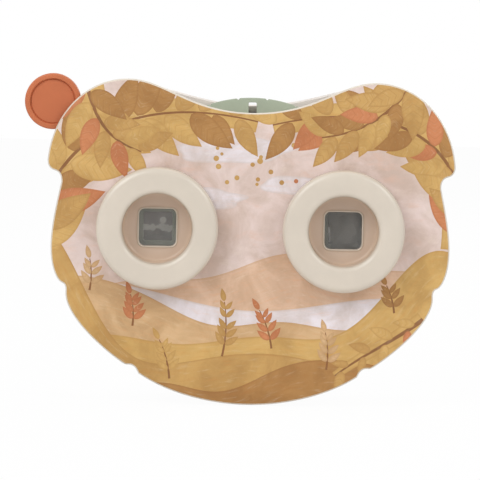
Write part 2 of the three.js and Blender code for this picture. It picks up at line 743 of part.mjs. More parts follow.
gatePlaces.forEach(([x, z], i) => addNode(`gate_screw_${i + 1}`, screw(
  gateHeadRadius, gateHeadHeight, gateShankRadius, gateScrewLength, gateBack + seatGap, x, z,
), steel));
const caseScrewSeat = rearStart + caseScrewFloor + seatGap;
casePlaces.forEach(([x, z], i) => addNode(`case_screw_${i + 1}`, screw(
  caseHeadRadius, caseHeadHeight, caseShankRadius, caseScrewLength, caseScrewSeat, x, z,
), steel));

export default viewer;
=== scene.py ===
# %% [markdown]
# # A toy viewer for picture reels
# A moulded case carries a printed plate, two light rings, a picture reel, a lever that turns it
# and two eyecups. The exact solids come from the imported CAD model. This lesson gives them their
# finishes, and makes the pieces that show again with softer edges, in metres and in one frame.

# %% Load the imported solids
import math
import random

import bmesh
import bpy
import numpy as np
from mathutils import Matrix, Vector
from mathutils.geometry import delaunay_2d_cdt


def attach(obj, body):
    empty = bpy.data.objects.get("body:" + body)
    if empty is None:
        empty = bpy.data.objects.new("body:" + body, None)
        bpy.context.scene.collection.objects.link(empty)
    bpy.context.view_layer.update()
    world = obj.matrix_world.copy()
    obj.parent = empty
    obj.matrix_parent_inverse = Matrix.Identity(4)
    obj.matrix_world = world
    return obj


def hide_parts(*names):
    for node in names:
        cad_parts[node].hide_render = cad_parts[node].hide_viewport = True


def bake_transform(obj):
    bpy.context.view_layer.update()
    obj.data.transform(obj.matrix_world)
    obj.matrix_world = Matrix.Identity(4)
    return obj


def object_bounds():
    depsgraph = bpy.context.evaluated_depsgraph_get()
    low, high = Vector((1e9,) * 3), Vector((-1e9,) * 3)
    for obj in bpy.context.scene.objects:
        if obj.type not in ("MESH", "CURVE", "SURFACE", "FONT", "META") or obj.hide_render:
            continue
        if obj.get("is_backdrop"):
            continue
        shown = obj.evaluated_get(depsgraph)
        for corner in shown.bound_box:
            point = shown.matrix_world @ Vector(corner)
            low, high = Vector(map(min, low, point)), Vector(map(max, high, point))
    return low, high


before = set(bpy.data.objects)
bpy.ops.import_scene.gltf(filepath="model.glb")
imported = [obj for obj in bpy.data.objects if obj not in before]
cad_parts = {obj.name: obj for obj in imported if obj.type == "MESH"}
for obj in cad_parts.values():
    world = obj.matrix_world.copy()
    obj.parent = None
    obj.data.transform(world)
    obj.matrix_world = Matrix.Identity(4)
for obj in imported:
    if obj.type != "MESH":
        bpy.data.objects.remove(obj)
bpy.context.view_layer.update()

# %% [markdown]
# ## From the drawing to the scene
# The designer measures outlines from the point midway between the eyes, in millimetres. One
# function turns such a point into scene metres, so that every cell uses the drawing's numbers.
# Moving finished objects would also work, but then their own coordinates, which the finishes
# use, would differ from piece to piece.

# %% Scene points and pieces from drawing sizes
eye_height = 61.0
eye_places = {"left": -32.0, "right": 32.0}


def scene_point(x, depth, z):
    return Vector((x / 1000, depth / 1000, (z + eye_height) / 1000))


def polar(radius, degrees):
    angle = math.radians(degrees)
    return radius * math.cos(angle), radius * math.sin(angle)


def placed(name, data):
    thing = bpy.data.objects.new(name, data)
    bpy.context.scene.collection.objects.link(thing)
    return thing


def even_out(mesh, sharp_above=38, weld=1e-7, flatten=None):
    """Faces look outwards and shade smoothly, except across edges sharper than this angle."""
    edit = bmesh.new()
    edit.from_mesh(mesh)
    bmesh.ops.remove_doubles(edit, verts=edit.verts, dist=weld)
    if flatten:
        bmesh.ops.dissolve_limit(edit, angle_limit=flatten, verts=edit.verts, edges=edit.edges)
    bmesh.ops.recalc_face_normals(edit, faces=edit.faces)
    for face in edit.faces:
        face.smooth = True
    edit.to_mesh(mesh)
    edit.free()
    mesh.set_sharp_from_angle(angle=math.radians(sharp_above))


def new_piece(name, points, faces):
    mesh = bpy.data.meshes.new(name)
    mesh.from_pydata([scene_point(*p) for p in points], [], faces)
    mesh.validate()
    even_out(mesh)
    return placed(name, mesh)


def keep_flat(piece):
    piece.modifiers.new("flat_faces_stay_flat", "WEIGHTED_NORMAL").keep_sharp = True


def baked(thing):
    """The mesh that a curve, or an object with modifiers, gives. The thing itself goes."""
    bpy.context.view_layer.update()
    graph = bpy.context.evaluated_depsgraph_get()
    mesh = bpy.data.meshes.new_from_object(thing.evaluated_get(graph))
    bpy.data.objects.remove(thing)
    return mesh


def settle(piece, body, stands_for, slot, *finishes):
    """Gives a piece its finishes and its body to ride on, and hides the solids it stands for."""
    for finish in finishes:
        piece.data.materials.append(finish)
    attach(piece, body)
    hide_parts(*stands_for)
    return piece


print("eye midpoint in metres:", tuple(round(v, 4) for v in scene_point(0, 0, 0)))

# %% [markdown]
# ## Camera
# The photograph was taken from far away and from three degrees above the toy, which leans by a
# degree in it. With the camera set first, every trial render has the right framing. The frame
# is 480 by 480.

# %% Camera at the photograph's angle
picture_width = 165.1
camera_distance = 1500.0
camera_rise = math.radians(3.0)
camera_roll = math.radians(1.08)
aim_shift = Vector((-0.00358, -0.00368, 0))

forward = Vector((0, math.cos(camera_rise), -math.sin(camera_rise)))
upward = Vector((0, math.sin(camera_rise), math.cos(camera_rise)))
level = Matrix((Vector((1, 0, 0)), upward, -forward)).transposed()
turn = level @ Matrix.Rotation(camera_roll, 3, "Z")
aim = scene_point(0, -20, 0) + turn @ aim_shift
camera_data = bpy.data.cameras.new("photograph_camera")
camera_data.sensor_width = 36
camera_data.lens = 36 * camera_distance / picture_width
camera = placed("photograph_camera", camera_data)
camera.matrix_world = Matrix.Translation(aim - forward * camera_distance / 1000) @ turn.to_4x4()
bpy.context.scene.camera = camera
print("camera lens in mm:", round(camera_data.lens, 1))

# %% [markdown]
# ## Colours and node building
# A paint chart gives colours as the eye sees them, but Blender mixes light, so paint() turns
# each into linear light. Short calls that add a node and hand back its result keep the
# finishes readable.

# %% Colour and node helpers
def paint(red, green, blue):
    def light(level):
        share = level / 255
        return share / 12.92 if share <= 0.04045 else ((share + 0.055) / 1.055) ** 2.4
    return light(red), light(green), light(blue), 1.0


class Nodes:
    def __init__(self, tree):
        self.tree = tree

    def feed(self, socket, value):
        if isinstance(value, bpy.types.NodeSocket):
            self.tree.links.new(value, socket)
        elif value is not None:
            socket.default_value = value

    def add(self, kind, *values, out=0, named=None, **settings):
        node = self.tree.nodes.new(kind)
        for key, value in settings.items():
            setattr(node, key, value)
        for socket, value in zip(node.inputs, values):
            self.feed(socket, value)
        for key, value in (named or {}).items():
            self.feed(node.inputs[key], value)
        return node.outputs[out]

    def parts(self, vector):
        return tuple(self.add("ShaderNodeSeparateXYZ", vector).node.outputs)

    def vector(self, x, y, z):
        return self.add("ShaderNodeCombineXYZ", x, y, z)

    def noise(self, vector, scale, detail=2.0, roughness=0.5, distortion=0.0):
        named = {"Vector": vector, "Scale": scale, "Detail": detail}
        named |= {"Roughness": roughness, "Distortion": distortion}
        return self.add("ShaderNodeTexNoise", named=named)

    def reckon(self, operation, first, second=None):
        return self.add("ShaderNodeMath", first, second, operation=operation)

    def plus(self, first, second):
        return self.reckon("ADD", first, second)

    def minus(self, first, second):
        return self.reckon("SUBTRACT", first, second)

    def times(self, first, second):
        return self.reckon("MULTIPLY", first, second)

    def ease(self, value, low, high, start=0.0, end=1.0):
        return self.add("ShaderNodeMapRange", value, low, high, start, end, interpolation_type="SMOOTHSTEP")

    def mix(self, share, first, second, blend="MIX"):
        colours = {6: first, 7: second}
        return self.add("ShaderNodeMix", share, out=2, named=colours, data_type="RGBA", blend_type=blend)

    def tinted(self, colour, *tint):
        return self.mix(1.0, colour, (*tint, 1.0), "MULTIPLY")


class Finish(Nodes):
    def __init__(self, name):
        self.material = bpy.data.materials.new(name)
        self.material.use_nodes = True
        super().__init__(self.material.node_tree)
        self.shader = self.tree.nodes["Principled BSDF"]

    def set(self, **values):
        for key, value in values.items():
            self.feed(self.shader.inputs[key.replace("_", " ")], value)

    def place(self):
        return self.add("ShaderNodeTexCoord", out="Object")

    def stored(self, name, output="Vector"):
        return self.add("ShaderNodeAttribute", out=output, attribute_name=name)

    def bump(self, height, distance, strength):
        named = {"Height": height, "Distance": distance, "Strength": strength}
        self.set(Normal=self.add("ShaderNodeBump", named=named))


print("cream in linear light:", [round(v, 3) for v in paint(217, 208, 193)])

# %% [markdown]
# ## Moulded plastic
# Moulded plastic is never one flat colour: the melt leaves faint clouds, the mould's eroded skin
# prints a fine grain, and handling polishes some patches. Painted textures could show that, but
# noise stays sharp at any distance, and one function serves every colour. Deep in the rings'
# bowls a painted shade, warmer and darker towards the walls, stands for light bounced from cream to cream.

# %% Moulded plastics
def painted_bowl_shade(finish, place, tone, floor_shade_tint, wall_shade_tint):
    """Painted shade and bounce light in the rings' bowls, darker and warmer towards the walls, but not on
    the bead round the window.
    """
    x, y, z = finish.parts(place)
    aside = finish.minus(finish.reckon("ABSOLUTE", x), eye_places["right"] / 1000)
    above = finish.minus(z, eye_height / 1000)
    reach = finish.reckon("SQRT", finish.plus(finish.times(aside, aside), finish.times(above, above)))
    mouth, below_lip = finish.ease(reach, 0.0126, 0.0116), finish.ease(y, -0.0285, -0.0245)
    by_window, raised = finish.ease(reach, 0.0094, 0.0092), finish.ease(y, -0.01803, -0.01815)
    inside = finish.minus(finish.times(mouth, below_lip), finish.times(by_window, raised))
    # painted shade: paler by the window, darker and warmer towards the bowl's wall
    painted_shade = finish.mix(finish.ease(reach, 0.0072, 0.0118), floor_shade_tint, wall_shade_tint)
    return finish.mix(inside, tone, finish.mix(1.0, tone, painted_shade, "MULTIPLY"))


def moulded_plastic(name, colour, roughness, cloud, grain=0.000016, bowl=None):
    finish = Finish(name)
    place = finish.place()
    clouds = finish.ease(finish.noise(place, 55, 4, 0.6), 0.3, 0.7)
    deeper = tuple(v * (1 - 2.2 * cloud) for v in colour[:3]) + (1.0,)
    paler = tuple(min(1.0, v * (1 + cloud)) for v in colour[:3]) + (1.0,)
    tone = finish.mix(clouds, deeper, paler)
    # painted shade and bounce light deep in the rings' bowls
    if bowl:
        tone = painted_bowl_shade(finish, place, tone, *bowl)
    specks = finish.ease(finish.noise(place, 900, 2, 0.7), 0.66, 0.74, 0.0, 0.35)
    finish.set(Base_Color=finish.mix(specks, tone, deeper))
    wear = finish.noise(place, 160, 5, 0.65)
    finish.set(Roughness=finish.ease(wear, 0.3, 0.7, 0.92 * roughness, 1.1 * roughness), IOR=1.5)
    skin = finish.plus(finish.noise(place, 2600, 2, 0.6), finish.times(wear, 0.5))
    finish.bump(skin, grain, 0.6)
    return finish.material


# painted shade in the rings' bowls: the tint by the window, then the darker one by the wall
bowl_shade_tints = (0.97, 0.86, 0.81, 1), (0.95, 0.82, 0.74, 1)
cream_plastic = moulded_plastic("cream_plastic", paint(221, 210, 194), 0.36, 0.02)
ring_plastic = moulded_plastic("ring_plastic", paint(217, 206, 191), 0.24, 0.02, bowl=bowl_shade_tints)
case_plastic = moulded_plastic("case_plastic", paint(224, 215, 206), 0.5, 0.02)
terracotta_plastic = moulded_plastic("terracotta_plastic", paint(199, 110, 67), 0.48, 0.04, 0.000006)
sage_plastic = moulded_plastic("sage_plastic", paint(167, 177, 157), 0.55, 0.04)
print("plastics:", [m.name for m in bpy.data.materials if m.name.endswith("_plastic")])

# %% [markdown]
# ## Steel and clear plastic
# Screws, spring, pawl and hub are bright steel with fine drawing marks in one direction. The
# lenses refract. The thin panes could too, but light bent by them would reach the film only
# slowly and with noise, so they just let it pass and catch some haze.

# %% Steel and clear plastics
def drawn_steel():
    finish = Finish("drawn_steel")
    place = finish.place()
    x, y, z = finish.parts(place)
    marks = finish.noise(finish.vector(x, finish.times(y, 0.06), z), 3200, 3, 0.6)
    cloud = finish.noise(place, 240, 3)
    finish.set(Base_Color=finish.mix(cloud, paint(168, 170, 172), paint(205, 206, 205)), Metallic=1.0)
    finish.set(Roughness=finish.ease(marks, 0.3, 0.7, 0.22, 0.42))
    finish.bump(marks, 0.000008, 0.5)
    return finish.material


def lens_plastic():
    finish = Finish("lens_plastic")
    smears = finish.noise(finish.place(), 180, 4, 0.6)
    finish.set(Base_Color=finish.mix(smears, paint(244, 247, 246), paint(252, 253, 252)))
    finish.set(Transmission_Weight=1.0, IOR=1.49, Roughness=finish.ease(smears, 0.4, 0.8, 0.0, 0.05))
    return finish.material


def pane_plastic():
    finish = Finish("pane_plastic")
    haze = finish.noise(finish.place(), 220, 4, 0.6)
    finish.set(Base_Color=finish.mix(haze, paint(205, 208, 205), paint(225, 226, 224)), IOR=1.49)
    finish.set(Roughness=finish.ease(haze, 0.3, 0.7, 0.12, 0.24))
    finish.set(Alpha=finish.ease(haze, 0.3, 0.7, 0.15, 0.23))
    return finish.material


steel = drawn_steel()
lens_clear = lens_plastic()
pane_clear = pane_plastic()
print("clear finishes:", lens_clear.name, pane_clear.name)

# %% [markdown]
# ## Turned pieces
# Round pieces are profiles spun about an axis from front to back. A screw modifier could spin
# them, but mesh code can round the profile's corners first, which makes edges catch the light.

# %% Rounded profiles and spun pieces
def rounded(corners, radii, steps=5, closed=True):
    """The corners of a path, each replaced by an arc of its own radius."""
    count = len(corners)
    path = []
    for i, corner in enumerate(corners):
        here = Vector(corner)
        if radii[i] <= 0 or (not closed and i in (0, count - 1)):
            path.append(tuple(here))
            continue
        before = Vector(corners[i - 1]) - here
        after = Vector(corners[(i + 1) % count]) - here
        half = before.angle(after) / 2
        reach = min(radii[i] / math.tan(half), 0.49 * before.length, 0.49 * after.length)
        start, end = here + before.normalized() * reach, here + after.normalized() * reach
        for k in range(steps + 1):
            t = k / steps
            path.append(tuple(start * (1 - t) ** 2 + here * 2 * t * (1 - t) + end * t ** 2))
    return path


def spun(profile, x=0.0, z=0.0, sides=96, closed=True):
    """Points and faces of a profile of (radius, depth) spun about the line through x and z.
    The profile is a list, or a function of the angle where it changes on its way round."""
    points, faces = [], []
    for s in range(sides):
        dx, dz = polar(1.0, 360 * s / sides)
        column = profile(360 * s / sides) if callable(profile) else profile
        count = len(column)
        points += [(x + r * dx, d, z + r * dz) for r, d in column]
    for s in range(sides):
        for i in range(count if closed else count - 1):
            j = (i + 1) % count
            here, there = s * count, (s + 1) % sides * count
            faces.append((here + i, here + j, there + j, there + i))
    return points, faces


def merged(*shapes):
    points, faces = [], []
    for more_points, more_faces in shapes:
        shift = len(points)
        points += list(more_points)
        faces += [tuple(i + shift for i in face) for face in more_faces]
    return points, faces


def turned(name, node, slot, finish, profile, x=0.0, body="housing", **spin):
    settle(new_piece(name, *spun(profile, x, **spin)), body, [node], slot, finish)


print("points of a rounded square:", len(rounded([(1, 0), (2, 0), (2, 1), (1, 1)], [0.2] * 4)))

# %% [markdown]
# ## Light rings
# Each ring is a deep bowl with a fat lip and a rounded square window in its floor, with a fine
# bead round it. A boolean could cut the window, but here the bowl's innermost points run along
# the window's edge instead of a circle, which keeps the mesh even and the bead smooth.

# %% Two light rings
window_half, window_corner = 6.4, 2.0
floor_reach, floor_depth = 9.2, -18.0
bowl_profile = rounded(
    [(16.5, -16.8), (16.5, -20.3), (21, -20.3), (21, -29.1), (12.1, -29.1),
     (11.9, floor_depth), (floor_reach, floor_depth)],
    [0, 0, 0.6, 2.6, 2.0, 2.5, 0], steps=9, closed=False,
)
window_lip = [
    (0.8, -18.0), (0.68, -18.08), (0.55, -18.24), (0.35, -18.32), (0.15, -18.26),
    (0.03, -18.1), (0.0, -17.8), (0.0, -17.0), (0.2, -16.8),
]


def window_reach(degrees):
    """How far the window's edge lies from its middle in a direction."""
    c, s = (abs(v) for v in polar(1.0, degrees))
    middle = window_half - window_corner
    if min(c, s) * window_half / max(c, s) <= middle:
        return window_half / max(c, s)
    both = middle * (c + s)
    return both + math.sqrt(both ** 2 - 2 * middle ** 2 + window_corner ** 2)


def bowl_at(degrees):
    edge = window_reach(degrees)
    floor_middle = ((floor_reach + edge + window_lip[0][0]) / 2, floor_depth)
    return bowl_profile + [floor_middle] + [(edge + out, depth) for out, depth in window_lip]


for side, x in eye_places.items():
    ring = f"{side}_light_ring", f"{side}_eye_ring"
    turned(*ring, "cream_plastic", ring_plastic, bowl_at, x, sides=160)
print("window corner reach, mm:", round(window_reach(45), 2))

# %% [markdown]
# ## The plate's outline
# The plate has the outline of a round animal head with two ears. Its right half is drawn with a
# few curves and mirrored, in steps of under a millimetre, so that no corner shows.

# %% Outline of the plate
def curve_points(start, curves, step):
    points = [start]
    for row in curves:
        handles = [np.array(points[-1])] + [np.array(p, float) for p in row]
        length = sum(np.linalg.norm(b - a) for a, b in zip(handles, handles[1:]))
        count = max(2, round(length / step))
        for k in range(1, count + 1):
            t = k / count
            level = handles
            while len(level) > 1:
                level = [(1 - t) * a + t * b for a, b in zip(level, level[1:])]
            points.append(tuple(level[0]))
    return points


def mirrored(start, curves, step):
    right = curve_points(start, curves, step)
    left = [(-x, z) for x, z in reversed(right) if abs(x) > 1e-6]
    return np.array(right + left)


plate_outline = mirrored((0, 40), [
    [(22, 40), (30, 51), (42.6, 51)], [(58, 51), (69, 38), (70.2, 22.5)],
    [(70.1, 19.6), (67.6, 19)], [(65.3, 18.4), (65.4, 15.2)],
    [(67.2, 6), (71.2, -9), (66.4, -17.8)], [(65.4, -19.4), (64.4, -19.7)],
    [(63.1, -20.2), (63.3, -22.6)], [(63.8, -31), (50, -42.5), (43.2, -47)],
    [(42.2, -47.7), (41.2, -47.5)], [(38.9, -47.4), (37.8, -50.4)],
    [(28, -57), (13.5, -60.7), (0, -60.7)],
], 0.8)
print("plate outline points:", len(plate_outline))

# %% [markdown]
# ## Measuring in a flat drawing
# Three questions come back for print and case: is a point inside an outline, how far is it from
# a line, and where on the line is the nearest point. Arrays answer for thousands at once.

# %% Inside, distance and nearest point
def is_inside(points, loop):
    x, z = points[:, 0], points[:, 1]
    found = np.zeros(len(points), bool)
    for (ax, az), (bx, bz) in zip(loop, np.roll(loop, -1, axis=0)):
        crosses = (az > z) != (bz > z)
        if az != bz:
            found ^= crosses & (x < (bx - ax) * (z - az) / (bz - az) + ax)
    return found


def nearest_on(points, line, closed=True):
    """Distance to a line, the nearest point on it and how far along the line that is."""
    ends = np.roll(line, -1, axis=0) if closed else line[1:]
    starts = line if closed else line[:-1]
    lengths = np.linalg.norm(ends - starts, axis=1)
    runs = np.concatenate([[0], np.cumsum(lengths)[:-1]])
    best = np.full(len(points), 1e9)
    place = np.zeros_like(points)
    along = np.zeros(len(points))
    for a, b, length, run in zip(starts, ends, lengths, runs):
        if length < 1e-9:
            continue
        t = np.clip((points - a) @ (b - a) / length ** 2, 0, 1)
        spot = a + t[:, None] * (b - a)
        gap = np.linalg.norm(points - spot, axis=1)
        closer = gap < best
        best[closer], place[closer] = gap[closer], spot[closer]
        along[closer] = (run + t * length)[closer]
    return best, place, along


def leftwards(ahead):
    """Arrows of length one, to the left of the given ones."""
    return np.stack([-ahead[:, 1], ahead[:, 0]], axis=1) / np.linalg.norm(ahead, axis=1)[:, None]


def across(loop):
    return -leftwards(np.roll(loop, -1, axis=0) - np.roll(loop, 1, axis=0))


def strip(line, half_width):
    side = leftwards(np.gradient(line, axis=0)) * half_width
    return np.concatenate([line + side, (line - side)[::-1]])


def inset_loop(loop, distance):
    """The loop moved inwards, without the points that would cross over in its bends."""
    normal = across(loop)
    turn_way = 1 if is_inside((loop + 0.05 * normal)[:40], loop).mean() > 0.5 else -1
    moved = loop + turn_way * distance * normal
    gap, _, _ = nearest_on(moved, loop)
    return moved[gap > 0.93 * distance]


def circle(x, z, radius, count):
    turns = [polar(radius, 360 * k / count) for k in range(count)]
    return np.array([(x + dx, z + dz) for dx, dz in turns])


def flat_area(border, holes, lines, spacing):
    """A triangulated area with holes, whose edges follow every given line."""
    points, edges = [], []
    for line, closed in [(loop, True) for loop in [border] + holes] + lines:
        start, last = len(points), len(line) if closed else len(line) - 1
        points += [Vector(p) for p in line]
        edges += [(start + k, start + (k + 1) % len(line)) for k in range(last)]
    low, high = border.min(axis=0), border.max(axis=0)
    rows = np.arange(low[1], high[1], spacing * 0.866)
    columns = np.arange(low[0], high[0], spacing)
    grid = np.array([(x + (spacing / 2 if k % 2 else 0), z) for k, z in enumerate(rows) for x in columns])
    points += [Vector(p) for p in grid[is_inside(grid, border)]]
    spots, _, triangles, _, _, _ = delaunay_2d_cdt(points, edges, [], 0, 1e-4)
    spots = np.array([tuple(p) for p in spots])
    triangles = np.array([t for t in triangles if len(t) == 3])
    middles = spots[triangles].mean(axis=1)
    keep = is_inside(middles, border)
    for loop in holes:
        keep &= ~is_inside(middles, loop)
    return spots, triangles[keep], middles[keep]


print("points of a smaller outline:", len(inset_loop(plate_outline, 0.8)))

# %% [markdown]
# ## Drawing the print
# The print is a plain landscape in watercolour: a blush sky with clouds, ochre and tan hills,
# and leafy boughs from both upper sides. Each motif is a closed line, later ones lying over
# earlier ones, as a printer stacks inks. Drawn shapes stay sharp close up, unlike a picture.

# %% Inks and motifs
inks = {
    "blush": paint(226, 207, 201), "mist": paint(232, 224, 229), "peach": paint(224, 190, 163),
    "tan": paint(212, 176, 132), "ochre": paint(199, 158, 94), "gold": paint(209, 170, 103),
    "umber": paint(176, 130, 74), "terracotta": paint(203, 132, 88), "bark": paint(150, 104, 62),
}
motifs = []
chance = random.Random(7)
print_reach, print_foot = 82, -72


def lay_motif(kind, colour, outline, spine=None):
    motifs.append({"kind": kind, "ink": inks[colour], "outline": np.array(outline), "spine": spine})


def hill(colour, crest):
    tops = [(x, crest(x)) for x in np.arange(-print_reach, print_reach + 0.1, 0.9)]
    foot = [(print_reach, print_foot), (-print_reach, print_foot)]
    lay_motif("wash", colour, tops + foot, np.array(tops))


def blob(colour, x, z, width, height, lobes, lean=0.0):
    outline = []
    for k in range(90):
        dx, dz = polar(1.0, 4 * k)
        swell = 1 + 0.09 * math.sin(lobes * math.radians(4 * k) + lean)
        outline.append((x + width / 2 * dx * swell, z + height / 2 * dz * swell + lean * dx))
    lay_motif("wash", colour, outline, np.array([(x - width, z + height), (x + width, z + height)]))


def ribbon(colour, line, start_width, end_width):
    line = np.array(line, float)
    half_width = np.linspace(start_width, end_width, len(line))[:, None] / 2
    lay_motif("wash", colour, strip(line, half_width), line)


def leaf(colour, x, z, heading, length, width, bend=0.0):
    count = 22
    share = np.linspace(0, 1, count)
    angle = np.radians(heading + bend * (share - 0.3))
    step = length / (count - 1)
    line = np.stack([x + np.cumsum(np.cos(angle)) * step, z + np.cumsum(np.sin(angle)) * step], axis=1)
    side = np.stack([-np.sin(angle), np.cos(angle)], axis=1)
    half = width / 2 * 3.1 * share ** 0.65 * (1 - share) ** 1.05
    outline = np.concatenate([line + side * half[:, None], (line - side * half[:, None])[-2:0:-1]])
    lay_motif("leaf", colour, outline, line)


print("inks:", ", ".join(inks))

# %% [markdown]
# The bare plate has the sky's ink. Clouds come first, then the hills from far to near, and
# sprigs that stand on them. A seeded random generator gives the same picture each time.

# %% Clouds, hills and sprigs
blob("mist", -6, 27, 40, 9, 5, 0.8)
blob("mist", 18, 15, 30, 7, 4, -0.6)
blob("mist", -20, 10, 36, 8, 6, 0.3)
hill("peach", lambda x: -15 + 5.5 * math.sin((x + 14) / 23) + 1.8 * math.sin(x / 8.2))
hill("mist", lambda x: -24.5 + 3.6 * math.sin((x - 26) / 17) - 0.04 * x)
hill("tan", lambda x: -33 + 17 * math.exp(-((x + 58) / 27) ** 2) + 1.2 * math.sin(x / 7))
hill("gold", lambda x: -38.5 + 31 * math.exp(-((x - 66) / 25) ** 2) + 1.5 * math.sin(x / 9 + 1))
hill("ochre", lambda x: -46 + 46 * math.exp(-((x + 73) / 22) ** 2) + 3.2 * math.sin((x + 20) / 15))
hill("umber", lambda x: -55 + 12 * math.exp(-((x - 30) / 22) ** 2) + 1.6 * math.sin(x / 6.5))


def sprig(colour, x, z, heading, height, pairs):
    line = [(x, z)]
    for k in range(14):
        dx, dz = polar(height / 14, heading + 1.6 * k)
        line.append((line[-1][0] + dx, line[-1][1] + dz))
    ribbon("bark", line, 0.75, 0.3)
    for k in range(pairs):
        at = line[3 + round(k * 11 / pairs)]
        size = 5.4 - 2.2 * k / pairs
        for way in (-1, 1):
            leaf(colour, *at, heading + way * (48 - 3 * k) + 1.6 * k, size, size * 0.42, -8 * way)
    leaf(colour, *line[-1], heading + 24, 4.6, 1.9)


for row in (
    ("ochre", -9, -44, 78, 19, 5), ("terracotta", 8, -41, 98, 14, 4), ("terracotta", -40, -34, 84, 11, 4),
    ("umber", 50, -28, 96, 10, 3), ("tan", 27, -48, 82, 13, 4), ("gold", -27, -52, 95, 14, 4),
    ("tan", -55, -22, 80, 11, 3),
):
    sprig(*row)
for k in range(16):
    x, z = -15 + 31 * chance.random(), 14 + 24 * chance.random()
    size = 0.55 + 0.5 * chance.random()
    colour = chance.choice(["gold", "terracotta", "ochre"])
    lay_motif("wash", colour, circle(x, z, size, 14), np.array([(x - 3, z + 3), (x + 3, z + 3)]))
print("motifs so far:", len(motifs))

# %% [markdown]
# The boughs are the boldest part, with big leaves in ochre, gold and terracotta over a loose
# wash, so that no bare sky shows between the leaves.

# %% Boughs and leaves
def bough(points, wash_width, leaves, size, spread):
    line = np.array(curve_points(points[0], [points[1:]], 1.5))
    ribbon("gold", line, wash_width, wash_width * 0.45)
    order = list(range(leaves))
    chance.shuffle(order)
    ribbon("bark", line, 1.5, 0.5)
    for k in order:
        share = (k + 0.5) / leaves
        spot = round(share * (len(line) - 1))
        at = line[spot]
        ahead = line[min(len(line) - 1, spot + 1)] - at
        heading = math.degrees(math.atan2(ahead[1], ahead[0]))
        way = 1 if k % 2 else -1
        tilt = way * (spread + 22 * (chance.random() - 0.5))
        length = size * (0.8 + 0.45 * chance.random()) * (1 - 0.25 * share)
        colour = chance.choice(["ochre", "ochre", "gold", "gold", "umber", "terracotta"])
        leaf(colour, *at, heading + tilt, length, length * 0.44, -14 * way)


bough([(-74, -8), (-72, 26), (-46, 48), (2, 37)], 17, 30, 19, 52)
bough([(-58, 52), (-54, 36), (-50, 30), (-38, 26)], 12, 12, 15, 46)
bough([(74, -6), (76, 30), (52, 47), (7, 36)], 17, 29, 18, 52)
bough([(56, 54), (50, 42), (40, 34), (24, 32)], 12, 13, 15, 44)
bough([(60, -30), (50, -38), (40, -42), (30, -50)], 6, 8, 9, 48)
print("motifs:", len(motifs))

# %% [markdown]
# ## The plate's mesh
# The flat front is cut along every motif's line, so a change of ink falls on an edge of the mesh
# and stays sharp. Each triangle takes the ink of the topmost motif over it, and its corners
# store where they lie in that motif: along the strokes, across them, and from its edge.

# %% Cut the front along the print
print_margin, eye_hole_radius, triangle_size = 0.5, 16.8, 1.6
plate_front, plate_back = -20.0, -16.8
eye_holes = [circle(x, 0, eye_hole_radius, 96) for x in eye_places.values()]
lines = []
for motif in motifs:
    lines.append((motif["outline"], True))
    if motif["kind"] == "leaf":
        lines.append((motif["spine"], False))
print_border = inset_loop(plate_outline, print_margin)
spots, triangles, middles = flat_area(print_border, eye_holes, lines, triangle_size)
topmost = np.full(len(triangles), -1)
for index, motif in enumerate(motifs):
    low, high = motif["outline"].min(axis=0), motif["outline"].max(axis=0)
    near = np.where(((middles > low) & (middles < high)).all(axis=1))[0]
    topmost[near[is_inside(middles[near], motif["outline"])]] = index
print("front triangles:", len(triangles), "under a motif:", int((topmost >= 0).sum()))

# %% [markdown]
# In a leaf the strokes run from the middle rib to the edge, and on a hill along its crest. A slow
# number along the stroke and a quick one across it are enough for that.

# %% Store each corner's ink and lie
far_from_edge, vein_slant, stroke_shift = 9.0, 0.75, 7.3
corner_ink = np.zeros((len(triangles), 3, 4))
corner_lie = np.zeros((len(triangles), 3, 3))
corner_ink[:] = inks["blush"]
corner_ink[:, :, 3] = 0.0
sky = spots[triangles]
corner_lie[:, :, 0], corner_lie[:, :, 1] = sky[:, :, 0] * 0.05, sky[:, :, 1] * 0.12
corner_lie[:, :, 2] = far_from_edge
for index, motif in enumerate(motifs):
    faces = np.where(topmost == index)[0]
    if not len(faces):
        continue
    at = spots[triangles[faces]].reshape(-1, 2)
    rim, _, _ = nearest_on(at, motif["outline"])
    away, _, along = nearest_on(at, motif["spine"], False)
    if motif["kind"] == "leaf":
        lie = np.stack([away * 0.3, along - vein_slant * away, rim], axis=1)
    else:
        lie = np.stack([along * 0.09, away * 0.55, rim], axis=1)
    corner_lie[faces] = lie.reshape(-1, 3, 3)
    corner_lie[faces, :, 0] += stroke_shift * index
    corner_ink[faces] = motif["ink"]
    corner_ink[faces, :, 3] = 1.0 if motif["kind"] == "leaf" else 0.0
print("corners with an ink:", corner_ink.shape[0] * 3)

# %% [markdown]
# The rest of the plate is a bare cream moulding: a rounded rim beyond the print, the sides and
# the back. The rim is extruded from the front's border towards the outline, so both share points.

# %% Plate with rim and back
edit = bmesh.new()
used = np.unique(triangles)
vertex = {i: edit.verts.new(scene_point(spots[i][0], plate_front, spots[i][1])) for i in used}
ink_layer = edit.loops.layers.float_color.new("ink")
lie_layer = edit.loops.layers.float_vector.new("lie")
for t, triangle in enumerate(triangles):
    face = edit.faces.new([vertex[i] for i in triangle])
    for corner, loop in enumerate(face.loops):
        loop[ink_layer] = corner_ink[t, corner]
        loop[lie_layer] = corner_lie[t, corner]


def drawing_place(vert):
    return np.array([(1000 * vert.co.x, 1000 * vert.co.z - eye_height)])


def from_eyes(edge):
    place = drawing_place(edge.verts[0])
    return min(np.linalg.norm(place - (x, 0)) for x in eye_places.values())


def drawn_out(edges):
    """Draws faces out from a border, and gives the points and edges of the new border."""
    made = bmesh.ops.extrude_edge_only(edit, edges=edges)["geom"]
    points = [g for g in made if isinstance(g, bmesh.types.BMVert)]
    ends = set(points)
    return points, [g for g in made if isinstance(g, bmesh.types.BMEdge) and ends.issuperset(g.verts)]


